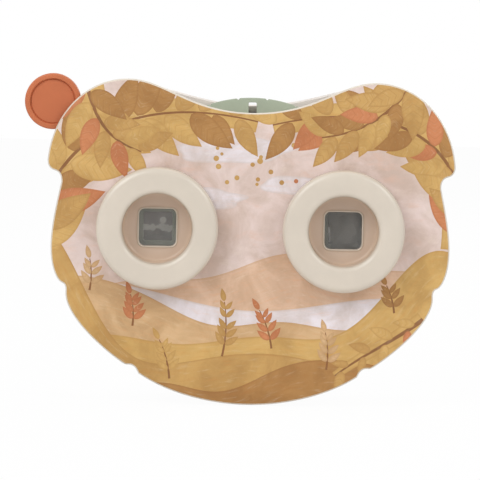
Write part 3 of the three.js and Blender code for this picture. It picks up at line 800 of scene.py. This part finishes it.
border = [e for e in edit.edges if e.is_boundary]
outer = [e for e in border if from_eyes(e) > eye_hole_radius + 0.7]
inner = [e for e in border if e not in set(outer)]
rim_steps = [(0.28, -19.93), (0.62, -19.7), (0.88, -19.33), (1.0, -18.9), (1.0, -17.2), (0.7, -16.8)]
routes = {}
for share, depth in rim_steps:
    fresh, outer = drawn_out(outer)
    if not routes:
        places = np.concatenate([drawing_place(v) for v in fresh])
        _, goals, _ = nearest_on(places, plate_outline)
        routes = {tuple(v.co): route for v, route in zip(fresh, zip(places, goals))}
    moved = {}
    for v in fresh:
        start, goal = routes[tuple(v.co)]
        x, z = start + (goal - start) * share
        v.co = scene_point(x, depth, z)
        moved[tuple(v.co)] = (start, goal)
    routes = moved
fresh, inner = drawn_out(inner)
for v in fresh:
    v.co.y = plate_back / 1000
bmesh.ops.triangle_fill(edit, edges=outer + inner, use_beauty=True)
plate_mesh = bpy.data.meshes.new("printed_plate")
edit.faces.index_update()
for face in edit.faces:
    face.material_index = 0 if face.index < len(triangles) else 1
    face.smooth = True
edit.to_mesh(plate_mesh)
edit.free()
plate_mesh.set_sharp_from_angle(angle=math.radians(38))
plate = placed("printed_plate", plate_mesh)
keep_flat(plate)
print("plate faces:", len(plate_mesh.polygons))

# %% [markdown]
# ## The print's finish
# Watercolour is uneven: pigment drifts into clouds, settles in strokes and pools in a darker
# line where a wash stops. Each is a mask made from noise and the stored values. Leaves also have
# side veins.

# %% Watercolour print
def watercolour_print():
    finish = Finish("watercolour_print")
    place = finish.place()
    ink = finish.stored("ink", "Color")
    is_leaf = finish.stored("ink", "Alpha")
    slow, quick, rim = finish.parts(finish.stored("lie"))
    drift = finish.ease(finish.noise(place, 75, 6, 0.62, 0.6), 0.3, 0.7)
    wash = finish.mix(drift, finish.tinted(ink, 0.80, 0.74, 0.66), finish.tinted(ink, 1.07, 1.07, 1.07))
    strokes = finish.noise(finish.vector(slow, quick, 0.0), 1.5, 5, 0.65)
    warm = finish.ease(strokes, 0.5, 0.72, 0.0, 0.55)
    wash = finish.mix(warm, wash, finish.tinted(ink, 0.98, 0.80, 0.66))
    pale = finish.ease(strokes, 0.46, 0.3, 0.0, 0.4)
    wash = finish.mix(pale, wash, finish.mix(0.35, ink, paint(240, 226, 200)))
    pool = finish.times(finish.ease(rim, 0.9, 0.05), 0.5)
    wash = finish.mix(pool, wash, finish.tinted(ink, 0.76, 0.66, 0.55))
    comb = finish.reckon("PINGPONG", quick, 1.3)
    vein = finish.times(finish.ease(comb, 0.22, 0.08), finish.times(is_leaf, 0.4))
    wash = finish.mix(vein, wash, finish.tinted(ink, 0.80, 0.70, 0.60))
    grain = finish.ease(finish.noise(place, 1900, 3, 0.7), 0.35, 0.7, 0.0, 0.10)
    finish.set(Base_Color=finish.mix(grain, wash, finish.tinted(wash, 0.8, 0.78, 0.75)))
    finish.set(Roughness=finish.ease(finish.noise(place, 150, 4), 0.3, 0.7, 0.40, 0.52), IOR=1.48)
    finish.bump(finish.noise(place, 2400, 2, 0.6), 0.000012, 0.5)
    return finish.material


settle(plate, "housing", ["front_fascia"], "printed_face", watercolour_print(), cream_plastic)
print("print nodes:", len(plate_mesh.materials[0].node_tree.nodes))

# %% [markdown]
# ## Pieces kept from the solids
# Some solids only lack soft edges: the front shell, the film gate, the panes, the pawl and its
# pin. A copy is cleaned of its flat triangles, bevelled by a fraction of a millimetre, and stands
# for the solid, which itself stays untouched.

# %% Copies with soft edges
def softened_copy(node, name, bevel, slot, body, finish):
    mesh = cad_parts[node].data.copy()
    mesh.materials.clear()
    even_out(mesh, weld=2e-6, flatten=math.radians(0.6))
    if "custom_normal" in mesh.attributes:
        mesh.attributes.remove(mesh.attributes["custom_normal"])
    piece = placed(name, mesh)
    edges = piece.modifiers.new("soft_edges", "BEVEL")
    edges.width, edges.segments = bevel / 1000, 3
    edges.limit_method, edges.angle_limit = "ANGLE", math.radians(50)
    keep_flat(piece)
    return settle(piece, body, [node], slot, finish)


softened_copy("front_shell", "front_case_half", 0.3, "cream_plastic", "housing", case_plastic)
softened_copy("film_gate", "picture_gate", 0.2, "cream_plastic", "housing", case_plastic)
softened_copy("advance_pawl", "reel_pawl", 0.08, "steel", "pawl", steel)
softened_copy("pawl_pin", "pawl_hinge_pin", 0.06, "steel", "lever", steel)
for side in eye_places:
    softened_copy(f"{side}_window_pane", f"{side}_clear_pane", 0.1, "clear_plastic", "housing", pane_clear)

# %% [markdown]
# ## Rear half of the case
# The deep rear half is what the user holds. An outer body is lofted through loops that draw in
# towards the back, and a smaller one hollows it out. Nose, lens tubes and screw wells are carved
# with booleans, as a die maker sinks them, because their edges cross the rounded surface.

# %% Bodies and cutting tools of the rear half
case_outline = mirrored((0, 42), [
    [(19, 42), (29.5, 48.8), (42.2, 48.8)], [(58, 48.8), (64.6, 32), (63.6, 12)],
    [(63.2, 2), (64.2, -12), (61.8, -22)], [(59.5, -34), (47, -44), (36.5, -49.5)],
    [(28, -53.5), (15, -60), (8, -61)], [(0, -61)],
], 1.1)
case_screw_places = [(53.5, 33), (57, -6), (-57, -10), (33, -43), (-33, -43)]
split_depth, back_depth, back_wall, side_wall = -1.95, 31.05, 2.2, 2.0
round_depth, round_inset, round_steps = 13.0, 7.0, 14
nose_width, nose_height, nose_middle = 30, 92, -53.5


def lofted(drawn_in, front, back):
    """A body of the case's outline with a rounded back."""
    inwards = across(case_outline)
    levels = [(drawn_in, front)]
    for k in range(round_steps + 1):
        c, s = polar(1.0, 90 * k / round_steps)
        levels.append((drawn_in + round_inset * (1 - c), back - round_depth * (1 - s)))
    points, faces, count = [], [], len(case_outline)
    for inset, depth in levels:
        points += [(x, depth, z) for x, z in case_outline + inset * inwards]
    for level in range(len(levels) - 1):
        here, above = level * count, (level + 1) * count
        steps = [(i, (i + 1) % count) for i in range(count)]
        faces += [(here + i, here + j, above + j, above + i) for i, j in steps]
    faces += [tuple(range(count)), tuple(range(len(points) - count, len(points)))]
    return points, faces


def rods(places, radius, front, back, sides=64):
    profile = [(0, front), (radius, front), (radius, back), (0, back)]
    return merged(*[spun(profile, x, z, sides, closed=False) for x, z in places])


def nose(grown):
    """A stretched ball about the middle of the nose, larger by the wall where it is grown."""
    points, faces = spun([polar(1.0, a) for a in range(-90, 91, 3)], closed=False)
    wide, high = nose_width / 2 + grown, nose_height / 2 + grown
    return [(wide * x, back_depth + wide * y, nose_middle + high * z) for x, y, z in points], faces


print("outline points of the case:", len(case_outline))

# %% Carve the rear half
def carved(body, *steps, solver="MANIFOLD"):
    """A body with tools joined to it, or cut out of it, one after the other."""
    tools = []
    for operation, shape in steps:
        tools.append(shape if isinstance(shape, bpy.types.Object) else new_piece("tool_draft", *shape))
        change = body.modifiers.new("carving", "BOOLEAN")
        change.operation, change.object, change.solver = operation, tools[-1], solver
    name = body.name
    mesh = baked(body)
    mesh.materials.clear()
    mesh.polygons.foreach_set("material_index", [0] * len(mesh.polygons))
    for tool in tools:
        bpy.data.objects.remove(tool)
    return placed(name, mesh)


eye_spots = [(x, 0) for x in eye_places.values()]
tube_radius, tube_front, tube_back, beyond = 16.9, 22.05, 36.05, 40
seat_radius, seat_depth, sight_radius = 14.9, 24.55, 13.7
boss_radius, well_radius, well_floor, bore_radius = 3.8, 3.1, 8.05, 1.4
septum = ([(x, y, z) for x in (-0.8, 0.8) for y in (split_depth, beyond) for z in (-70, 60)],
          [(0, 1, 3, 2), (4, 6, 7, 5), (0, 4, 5, 1), (2, 3, 7, 6), (0, 2, 6, 4), (1, 5, 7, 3)])
hollow = carved(
    new_piece("hollow_draft", *lofted(side_wall, split_depth - 1, back_depth - back_wall)),
    ("DIFFERENCE", nose(back_wall)), ("DIFFERENCE", septum),
    ("DIFFERENCE", rods(case_screw_places, boss_radius, split_depth, beyond)),
    ("DIFFERENCE", rods(eye_spots, tube_radius, tube_front, beyond)),
)
rear_half = carved(
    new_piece("rear_case_half", *lofted(0, split_depth, back_depth)),
    ("DIFFERENCE", nose(0)), ("DIFFERENCE", hollow),
    ("UNION", rods(eye_spots, tube_radius, tube_front, tube_back)),
    ("DIFFERENCE", rods(eye_spots, seat_radius, seat_depth, beyond)),
    ("DIFFERENCE", rods(eye_spots, sight_radius, 20, 25)),
    ("DIFFERENCE", rods(case_screw_places, well_radius, well_floor, beyond)),
    ("DIFFERENCE", rods(case_screw_places, bore_radius, -4, 9)),
)
even_out(rear_half.data)
keep_flat(rear_half)
settle(rear_half, "housing", ["rear_shell"], "cream_plastic", case_plastic)
print("rear half faces:", len(rear_half.data.polygons))

# %% [markdown]
# ## Lenses, retainers and eyecups
# Each lens is a thick disc with two shallow domes, held in its tube by a snap ring. The eyecup
# pushes over the tube and flares to a soft rim. All three are spun, because one profile tells all
# there is to know of a round piece.

# %% Lenses, snap rings and eyecups
lens_middle, lens_edge, lens_dome, lens_radius = 26.06, 2.0, 1.75, 14.6


def lens_profile():
    radii = np.linspace(0, lens_radius, 22)
    rise = lens_edge / 2 + lens_dome * (1 - (radii / lens_radius) ** 2)
    front = [(r, lens_middle - h) for r, h in zip(radii, rise)]
    back = [(r, lens_middle + h) for r, h in zip(radii, rise)]
    return front + back[::-1]


snap_profile = rounded(
    [(13.0, 27.72), (14.6, 27.72), (14.6, 29.72), (13.0, 29.72)], [0.2, 0.2, 0.3, 0.4],
)
eyecup_profile = rounded(
    [(17.2, 31.35), (19.5, 31.35), (20.1, 38.35), (21.2, 43.2), (20.9, 45.35), (17.6, 45.35),
     (16.4, 41.5), (14.9, 36.35), (17.2, 36.35)],
    [0.2, 0.6, 12.0, 3.0, 1.5, 1.6, 6.0, 0.5, 0.2], steps=7,
)
for side, x in eye_places.items():
    lens = f"{side}_eye_lens", f"{side}_lens"
    retainer = f"{side}_snap_ring", f"{side}_lens_retainer"
    eyecup = f"{side}_eye_rest", f"{side}_eyecup"
    turned(*lens, "clear_plastic", lens_clear, lens_profile(), x, closed=False)
    turned(*retainer, "cream_plastic", case_plastic, snap_profile, x)
    turned(*eyecup, "cream_plastic", cream_plastic, eyecup_profile, x, sides=128)
print("eyecup profile points:", len(eyecup_profile))

# %% [markdown]
# ## Flat punched pieces
# The reel's discs and the lever's arm are flat, with holes and rounded edges. A flat curve in
# Blender can be filled, thickened and bevelled at once, holes included, and then becomes a mesh.

# %% Filled and bevelled curves
def lay_line(curve, points, closed):
    spline = curve.splines.new("POLY")
    spline.points.add(len(points) - 1)
    for spot, at in zip(spline.points, points):
        spot.co = (*at, 1)
    spline.use_cyclic_u = closed


def punched(name, loops, front, back, bevel):
    curve = bpy.data.curves.new(name, "CURVE")
    curve.dimensions, curve.fill_mode = "2D", "BOTH"
    curve.extrude = (back - front) / 2000 - bevel / 1000
    curve.bevel_depth, curve.bevel_resolution, curve.offset = bevel / 1000, 2, -bevel / 1000
    for loop in loops:
        lay_line(curve, [(x / 1000, z / 1000, 0) for x, z in loop], True)
    mesh = baked(placed(name + "_draft", curve))
    mesh.name = name
    mesh.transform(Matrix.Rotation(math.radians(90), 4, "X"))
    mesh.transform(Matrix.Translation(scene_point(0, (front + back) / 2, 0)))
    even_out(mesh)
    piece = placed(name, mesh)
    keep_flat(piece)
    return piece


def turned_loop(loop, degrees):
    c, s = polar(1.0, degrees)
    return [(x * c - z * s, x * s + z * c) for x, z in loop]


def soft_rectangle(width, height, radius, x=0.0, z=0.0):
    dx, dz = width / 2, height / 2
    corners = [(x - dx, z - dz), (x + dx, z - dz), (x + dx, z + dz), (x - dx, z + dz)]
    return rounded(corners, [radius] * 4, steps=4)


print("flat pieces are drawn as curves")

# %% [markdown]
# ## Picture reel
# Two sage discs from one mould hold the film between them. Each has fourteen picture frames, a
# slot for the pawl between each two, and small notches round its rim. Notches could be cut one by
# one, but drawn in the rim's own line they are rounded along with it.

# %% Reel discs and hub
frame_count, reel_radius, frame_reach, slot_reach, disc_thickness = 14, 45, 32, 40.9, 1.0
frame_pitch = 360 / frame_count
reel_rim = []
for k in range(2 * frame_count):
    middle = 90 + (k + 0.5) * frame_pitch / 2
    for offset, inward in ((-0.83, 0), (-0.6, 0.08), (0, 0.5), (0.6, 0.08), (0.83, 0)):
        reel_rim.append(polar(reel_radius - inward, middle + offset))
    reel_rim += [polar(reel_radius, middle + 1.2 + 10.46 * n / 9) for n in range(10)]
holes = [circle(0, 0, 2.2, 40)]
for k in range(frame_count):
    holes.append(turned_loop(soft_rectangle(10, 10, 0.7, frame_reach), k * frame_pitch))
    holes.append(turned_loop(soft_rectangle(5, 2.8, 0.5, slot_reach), (k + 0.5) * frame_pitch))
for face, front in (("front", -9.4), ("back", -7.9)):
    disc = punched(f"{face}_reel_disc", [reel_rim] + holes, front, front + disc_thickness, 0.16)
    settle(disc, "reel", [f"reel_{face}_disc"], "sage_plastic", sage_plastic)
hub_profile = rounded(
    [(0, -9.9), (3.5, -9.9), (3.5, -9.5), (2, -9.5), (2, -6.8), (3.5, -6.8), (3.5, -6.4),
     (1.5, -6.4), (1.5, -4.45), (0, -4.45)],
    [0, 0.3, 0.05, 0, 0, 0.05, 0.3, 0.1, 0.3, 0], closed=False,
)
turned("reel_rivet", "reel_hub", "steel", steel, hub_profile, body="hub", sides=48, closed=False)
print("reel rim points:", len(reel_rim))

# %% [markdown]
# ## Film
# Each frame of the film has a small picture, and opposite frames show the same scene, one for
# each eye. Corners store their place in the frame and its number, from which the finish draws a
# dusky sky, a moon and three ridges. Frames on the left are stored upside down, so that both
# windows show an upright picture.

# %% Film ring with fourteen pictures
film_inner, film_width, film_depth = 22, 16.04, -8.3
left_frames, scene_count = range(4, 11), frame_count // 2
film_points, film_faces, film_frame = [], [], []
frame_steps, rings = 20, 12
around = frame_count * frame_steps
for a in range(around):
    for r in range(rings + 1):
        x, z = polar(film_inner + film_width * r / rings, (a / frame_steps - 0.5) * frame_pitch)
        film_points.append((x, film_depth, z))
for a in range(around):
    for r in range(rings):
        here, there = a * (rings + 1) + r, (a + 1) % around * (rings + 1) + r
        film_faces.append((here, here + 1, there + 1, there))
        number = a // frame_steps
        upright = -1 if number in left_frames else 1
        c, s = polar(1.0, -number * frame_pitch)
        for i in film_faces[-1]:
            px, _, pz = film_points[i]
            sideways, upwards = px * c - pz * s - frame_reach, px * s + pz * c
            film_frame.append((upright * sideways, upright * upwards, number % scene_count))
mesh = bpy.data.meshes.new("picture_film")
mesh.from_pydata([scene_point(*p) for p in film_points], [], film_faces)
in_frame = mesh.attributes.new("in_frame", "FLOAT_VECTOR", "CORNER")
in_frame.data.foreach_set("vector", np.array(film_frame, np.float32).ravel())
film = placed("picture_film", mesh)
thickness = film.modifiers.new("film_thickness", "SOLIDIFY")
thickness.thickness, thickness.offset = 0.0003, 1.0
print("film faces:", len(film_faces))

# %% Film pictures
def film_pictures():
    finish = Finish("film_pictures")
    side, up, number = finish.parts(finish.stored("in_frame"))
    picture = finish.mix(finish.ease(up, -3, 5), paint(116, 106, 108), paint(96, 88, 92))
    drift = finish.times(finish.reckon("SINE", finish.plus(finish.times(number, 2.4), 2.3)), 2.3)
    moon_side, moon_up = finish.minus(side, drift), finish.minus(up, 2.1)
    moon = finish.plus(finish.times(moon_side, moon_side), finish.times(moon_up, moon_up))
    picture = finish.mix(finish.ease(moon, 1.6, 0.9), picture, paint(228, 230, 226))
    for level, scale, seed, colour in (
        (0.6, 0.34, 3.1, paint(216, 219, 214)), (-1.2, 0.30, 5.9, paint(98, 92, 92)),
        (-2.4, 0.24, 8.7, paint(62, 60, 60)),
    ):
        rise = finish.noise(finish.vector(side, finish.plus(number, seed), 0.0), scale, 3, 0.5)
        crest = finish.plus(finish.times(rise, 6.0), level - 3.0)
        picture = finish.mix(finish.ease(finish.minus(crest, up), -0.15, 0.15), picture, colour)
    gloss = finish.ease(finish.noise(finish.place(), 300, 3), 0.3, 0.7, 0.16, 0.3)
    finish.set(Base_Color=picture, Roughness=gloss, IOR=1.5)
    return finish.material


settle(film, "reel", ["film_ring"], "film", film_pictures())
print("scenes on the film, each in two opposite frames:", scene_count)

# %% [markdown]
# ## Advance lever
# Pressing the knob swings the arm about the reel's axis, and the pawl on the arm takes the reel
# along by one picture. The knob is dished for a fingertip. Knob and arm are one moulding, so
# their meshes are joined.

# %% Lever with dished knob
knob_x, knob_z = polar(81, 148.2)
knob_profile = rounded(
    [(0, -15.3), (7.4, -15.3), (7.55, -15.1), (7.72, -15.1), (7.85, -16.2), (9.65, -16.2),
     (9.65, -10.2), (0, -10.2)],
    [0, 0.15, 0.06, 0.06, 0.35, 0.75, 0.8, 0], steps=7, closed=False,
)
pawl_angle, arm_width = 141.43, 10
spring_post = polar(24, pawl_angle)
arm_bend, arm_elbow = polar(54, pawl_angle), polar(60.68, pawl_angle)
knob_root = (knob_x, knob_z - 4.4)
arm_depths, eye_depths = (-14.15, -12.15), (-14.2, -12.1)
ear_depths, post_depths = (-12.6, -10.05), (-12.6, -10.85)
arm_line = np.array(curve_points((0, 0), [[arm_bend], [arm_elbow, knob_root]], 1.5))
lever = punched("press_lever", [strip(arm_line, arm_width / 2)], *arm_depths, 0.4)
knob = new_piece("knob_draft", *spun(knob_profile, knob_x, knob_z, sides=112, closed=False))
eye_loops = [circle(0, 0, 8, 72), circle(0, 0, 3.2, 40)]
parts = [lever, knob, punched("lever_eye_draft", eye_loops, *eye_depths, 0.3)]
for way in (-1, 1):
    ear = soft_rectangle(1.9, 1.2, 0.2, 52.9, way * 1.8)
    parts.append(punched("lever_ear_draft", [turned_loop(ear, pawl_angle)], *ear_depths, 0.15))
parts.append(punched("spring_post_draft", [circle(*spring_post, 0.9, 24)], *post_depths, 0.12))
with bpy.context.temp_override(active_object=lever, selected_editable_objects=parts):
    bpy.ops.object.join()
settle(lever, "lever", ["advance_lever"], "terracotta_plastic", terracotta_plastic)
print("lever faces:", len(lever.data.polygons))

# %% [markdown]
# ## Screws and return spring
# Screws close the case, hold the gate and carry the lever. Each head has a cross recess, cut with
# a boolean, because it crosses the dome. The spring is a swept wire, a helix with a hook at both
# ends, stretched between case and lever.

# %% Screws with cross recess
def screw_mesh(head, height, shank, length):
    profile = rounded(
        [(0, -length), (shank, -length + 2 * shank), (shank, 0), (head, 0), (head, 0.5 * height),
         (0.62 * head, height), (0, height)],
        [0, 0.1, 0, 0.1, 0.5 * height, 0.4 * height, 0], closed=False,
    )
    body = new_piece("screw_draft", *spun(profile, sides=40, closed=False))
    bar = soft_rectangle(1.1 * head, 0.42 * head, 0.05 * head)
    bars = [punched("recess_draft", [turned_loop(bar, a)], 0.35 * height, 2 * height, 0.02) for a in (0, 90)]
    screw = carved(body, *[("DIFFERENCE", tool) for tool in bars], solver="EXACT")
    return baked(screw)


def drive_screw(mesh, node, x, seat, z, turn_by):
    screw = placed(node + "_dressed", mesh.copy())
    screw.data.transform(Matrix.Translation(-scene_point(0, 0, 0)))
    screw.data.transform(Matrix.Translation(scene_point(x, seat, z)) @ Matrix.Rotation(turn_by, 4, "Y"))
    even_out(screw.data)
    settle(screw, "housing", [node], "steel", steel)


case_screw, gate_screw = screw_mesh(2.8, 2.0, 1.1, 16), screw_mesh(2.3, 1.4, 0.9, 7)
case_seat, gate_seat, pivot_seat = 8.35, -3.85, -11.75
gate_screw_places = [(52, 17), (50, -24), (-50, -24), (0, -52.5)]
for k, (x, z) in enumerate(case_screw_places):
    drive_screw(case_screw, f"case_screw_{k + 1}", x, case_seat, z, 0.4 + 1.3 * k)
for k, (x, z) in enumerate(gate_screw_places):
    drive_screw(gate_screw, f"gate_screw_{k + 1}", x, gate_seat, z, 0.9 * k)
drive_screw(screw_mesh(4.2, 1.0, 0.9, 3), "lever_pivot_screw", 0, pivot_seat, 0, 0.3)
print("screws:", len(case_screw_places) + len(gate_screw_places) + 1)

# %% Return spring
wire_radius, wire_depth, hook_radius, coil_radius, curls, pitch = 0.25, -11.6, 1.45, 1.1, 9, 1.5


def spring_path():
    post, anchor = np.array(spring_post), np.array((14.0, 30.0))
    span = np.linalg.norm(anchor - post)
    ax, az = (anchor - post) / span
    local = [polar(hook_radius, a) + (0.0,) for a in range(300, 89, -15)]
    start = (span - curls * pitch) / 2
    for k in range(curls * 24 + 1):
        n, d = polar(coil_radius, 15 * k)
        local.append((start + pitch * k / 24, n, d))
    for a in range(90, -121, -15):
        s, n = polar(hook_radius, a)
        local.append((span + s, n, 0.0))
    return [(post[0] + ax * s - az * n, wire_depth + d, post[1] + az * s + ax * n) for s, n, d in local]


curve = bpy.data.curves.new("return_spring", "CURVE")
curve.dimensions, curve.use_fill_caps = "3D", True
curve.bevel_depth, curve.bevel_resolution = wire_radius / 1000, 3
path = spring_path()
lay_line(curve, [scene_point(*at) for at in path], False)
spring = placed("return_spring", baked(placed("spring_draft", curve)))
even_out(spring.data, 60)
spring.data.materials.append(steel)
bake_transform(spring)
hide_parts("lever_return_spring")
print("spring points:", len(path))

# %% [markdown]
# ## Floor and light
# The toy stands on a plain white floor before white. Four broad lamps and an even surround light
# it softly. The light path node shows the floor white to the camera, yet part of it still takes
# the toy's shadow, so the toy doesn't float.

# %% White floor and surround
floor_whiteness, surround_strength = 0.965, 0.46


def shown_directly(nodes):
    rays = nodes.add("ShaderNodeLightPath").node.outputs
    mirrored_too = nodes.reckon("MAXIMUM", rays["Is Camera Ray"], rays["Is Glossy Ray"])
    return nodes.reckon("MAXIMUM", mirrored_too, rays["Is Transmission Ray"])


edit = bmesh.new()
bmesh.ops.create_grid(edit, x_segments=12, y_segments=12, size=3.0)
floor_mesh = bpy.data.meshes.new("studio_floor")
edit.to_mesh(floor_mesh)
edit.free()
floor = placed("studio_floor", floor_mesh)
finish = Finish("studio_floor")
finish.set(Base_Color=(0.86, 0.86, 0.86, 1), Roughness=0.9)
share = finish.times(shown_directly(finish), floor_whiteness)
glow = finish.add("ShaderNodeEmission")
seen = finish.add("ShaderNodeMixShader", share, finish.shader.outputs[0], glow)
finish.feed(finish.tree.nodes["Material Output"].inputs[0], seen)
floor_mesh.materials.append(finish.material)
floor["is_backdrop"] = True

world = bpy.data.worlds.new("studio")
world.use_nodes = True
bpy.context.scene.world = world
nodes = Nodes(world.node_tree)
even = nodes.tree.nodes["Background"]
even.inputs[0].default_value, even.inputs[1].default_value = (1, 1, 1, 1), surround_strength
white = nodes.add("ShaderNodeBackground", (1, 1, 1, 1), 1.0)
seen = nodes.add("ShaderNodeMixShader", shown_directly(nodes), even.outputs[0], white)
nodes.feed(nodes.tree.nodes["World Output"].inputs[0], seen)
print("surround strength:", surround_strength)

# %% Studio lamps
lamp_aim = Vector((0, 0, 0.06))


def soft_lamp(name, place, power, size):
    data = bpy.data.lights.new(name, "AREA")
    data.energy, data.size = power, size
    lamp = placed(name, data)
    lamp.location = place
    lamp.rotation_euler = (lamp_aim - lamp.location).to_track_quat("-Z", "Y").to_euler()


lamp_rows = [
    ("key_lamp", (-0.75, -1.0, 1.0), 9.6, 0.8), ("fill_lamp", (0.9, -0.95, 0.85), 4.6, 0.55),
    ("top_lamp", (0.1, 0.35, 1.3), 3.6, 0.9), ("rear_lamp", (0.7, 1.2, 0.6), 3.6, 0.9),
]
for row in lamp_rows:
    soft_lamp(*row)
bpy.context.scene.view_settings.view_transform = "Standard"
print("lamps:", [row[0] for row in lamp_rows])

# %% [markdown]
# ## Measure and finish
# Soft edges must not make the toy grow, so the last call measures the box of the dressed toy,
# without the floor.

low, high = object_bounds()
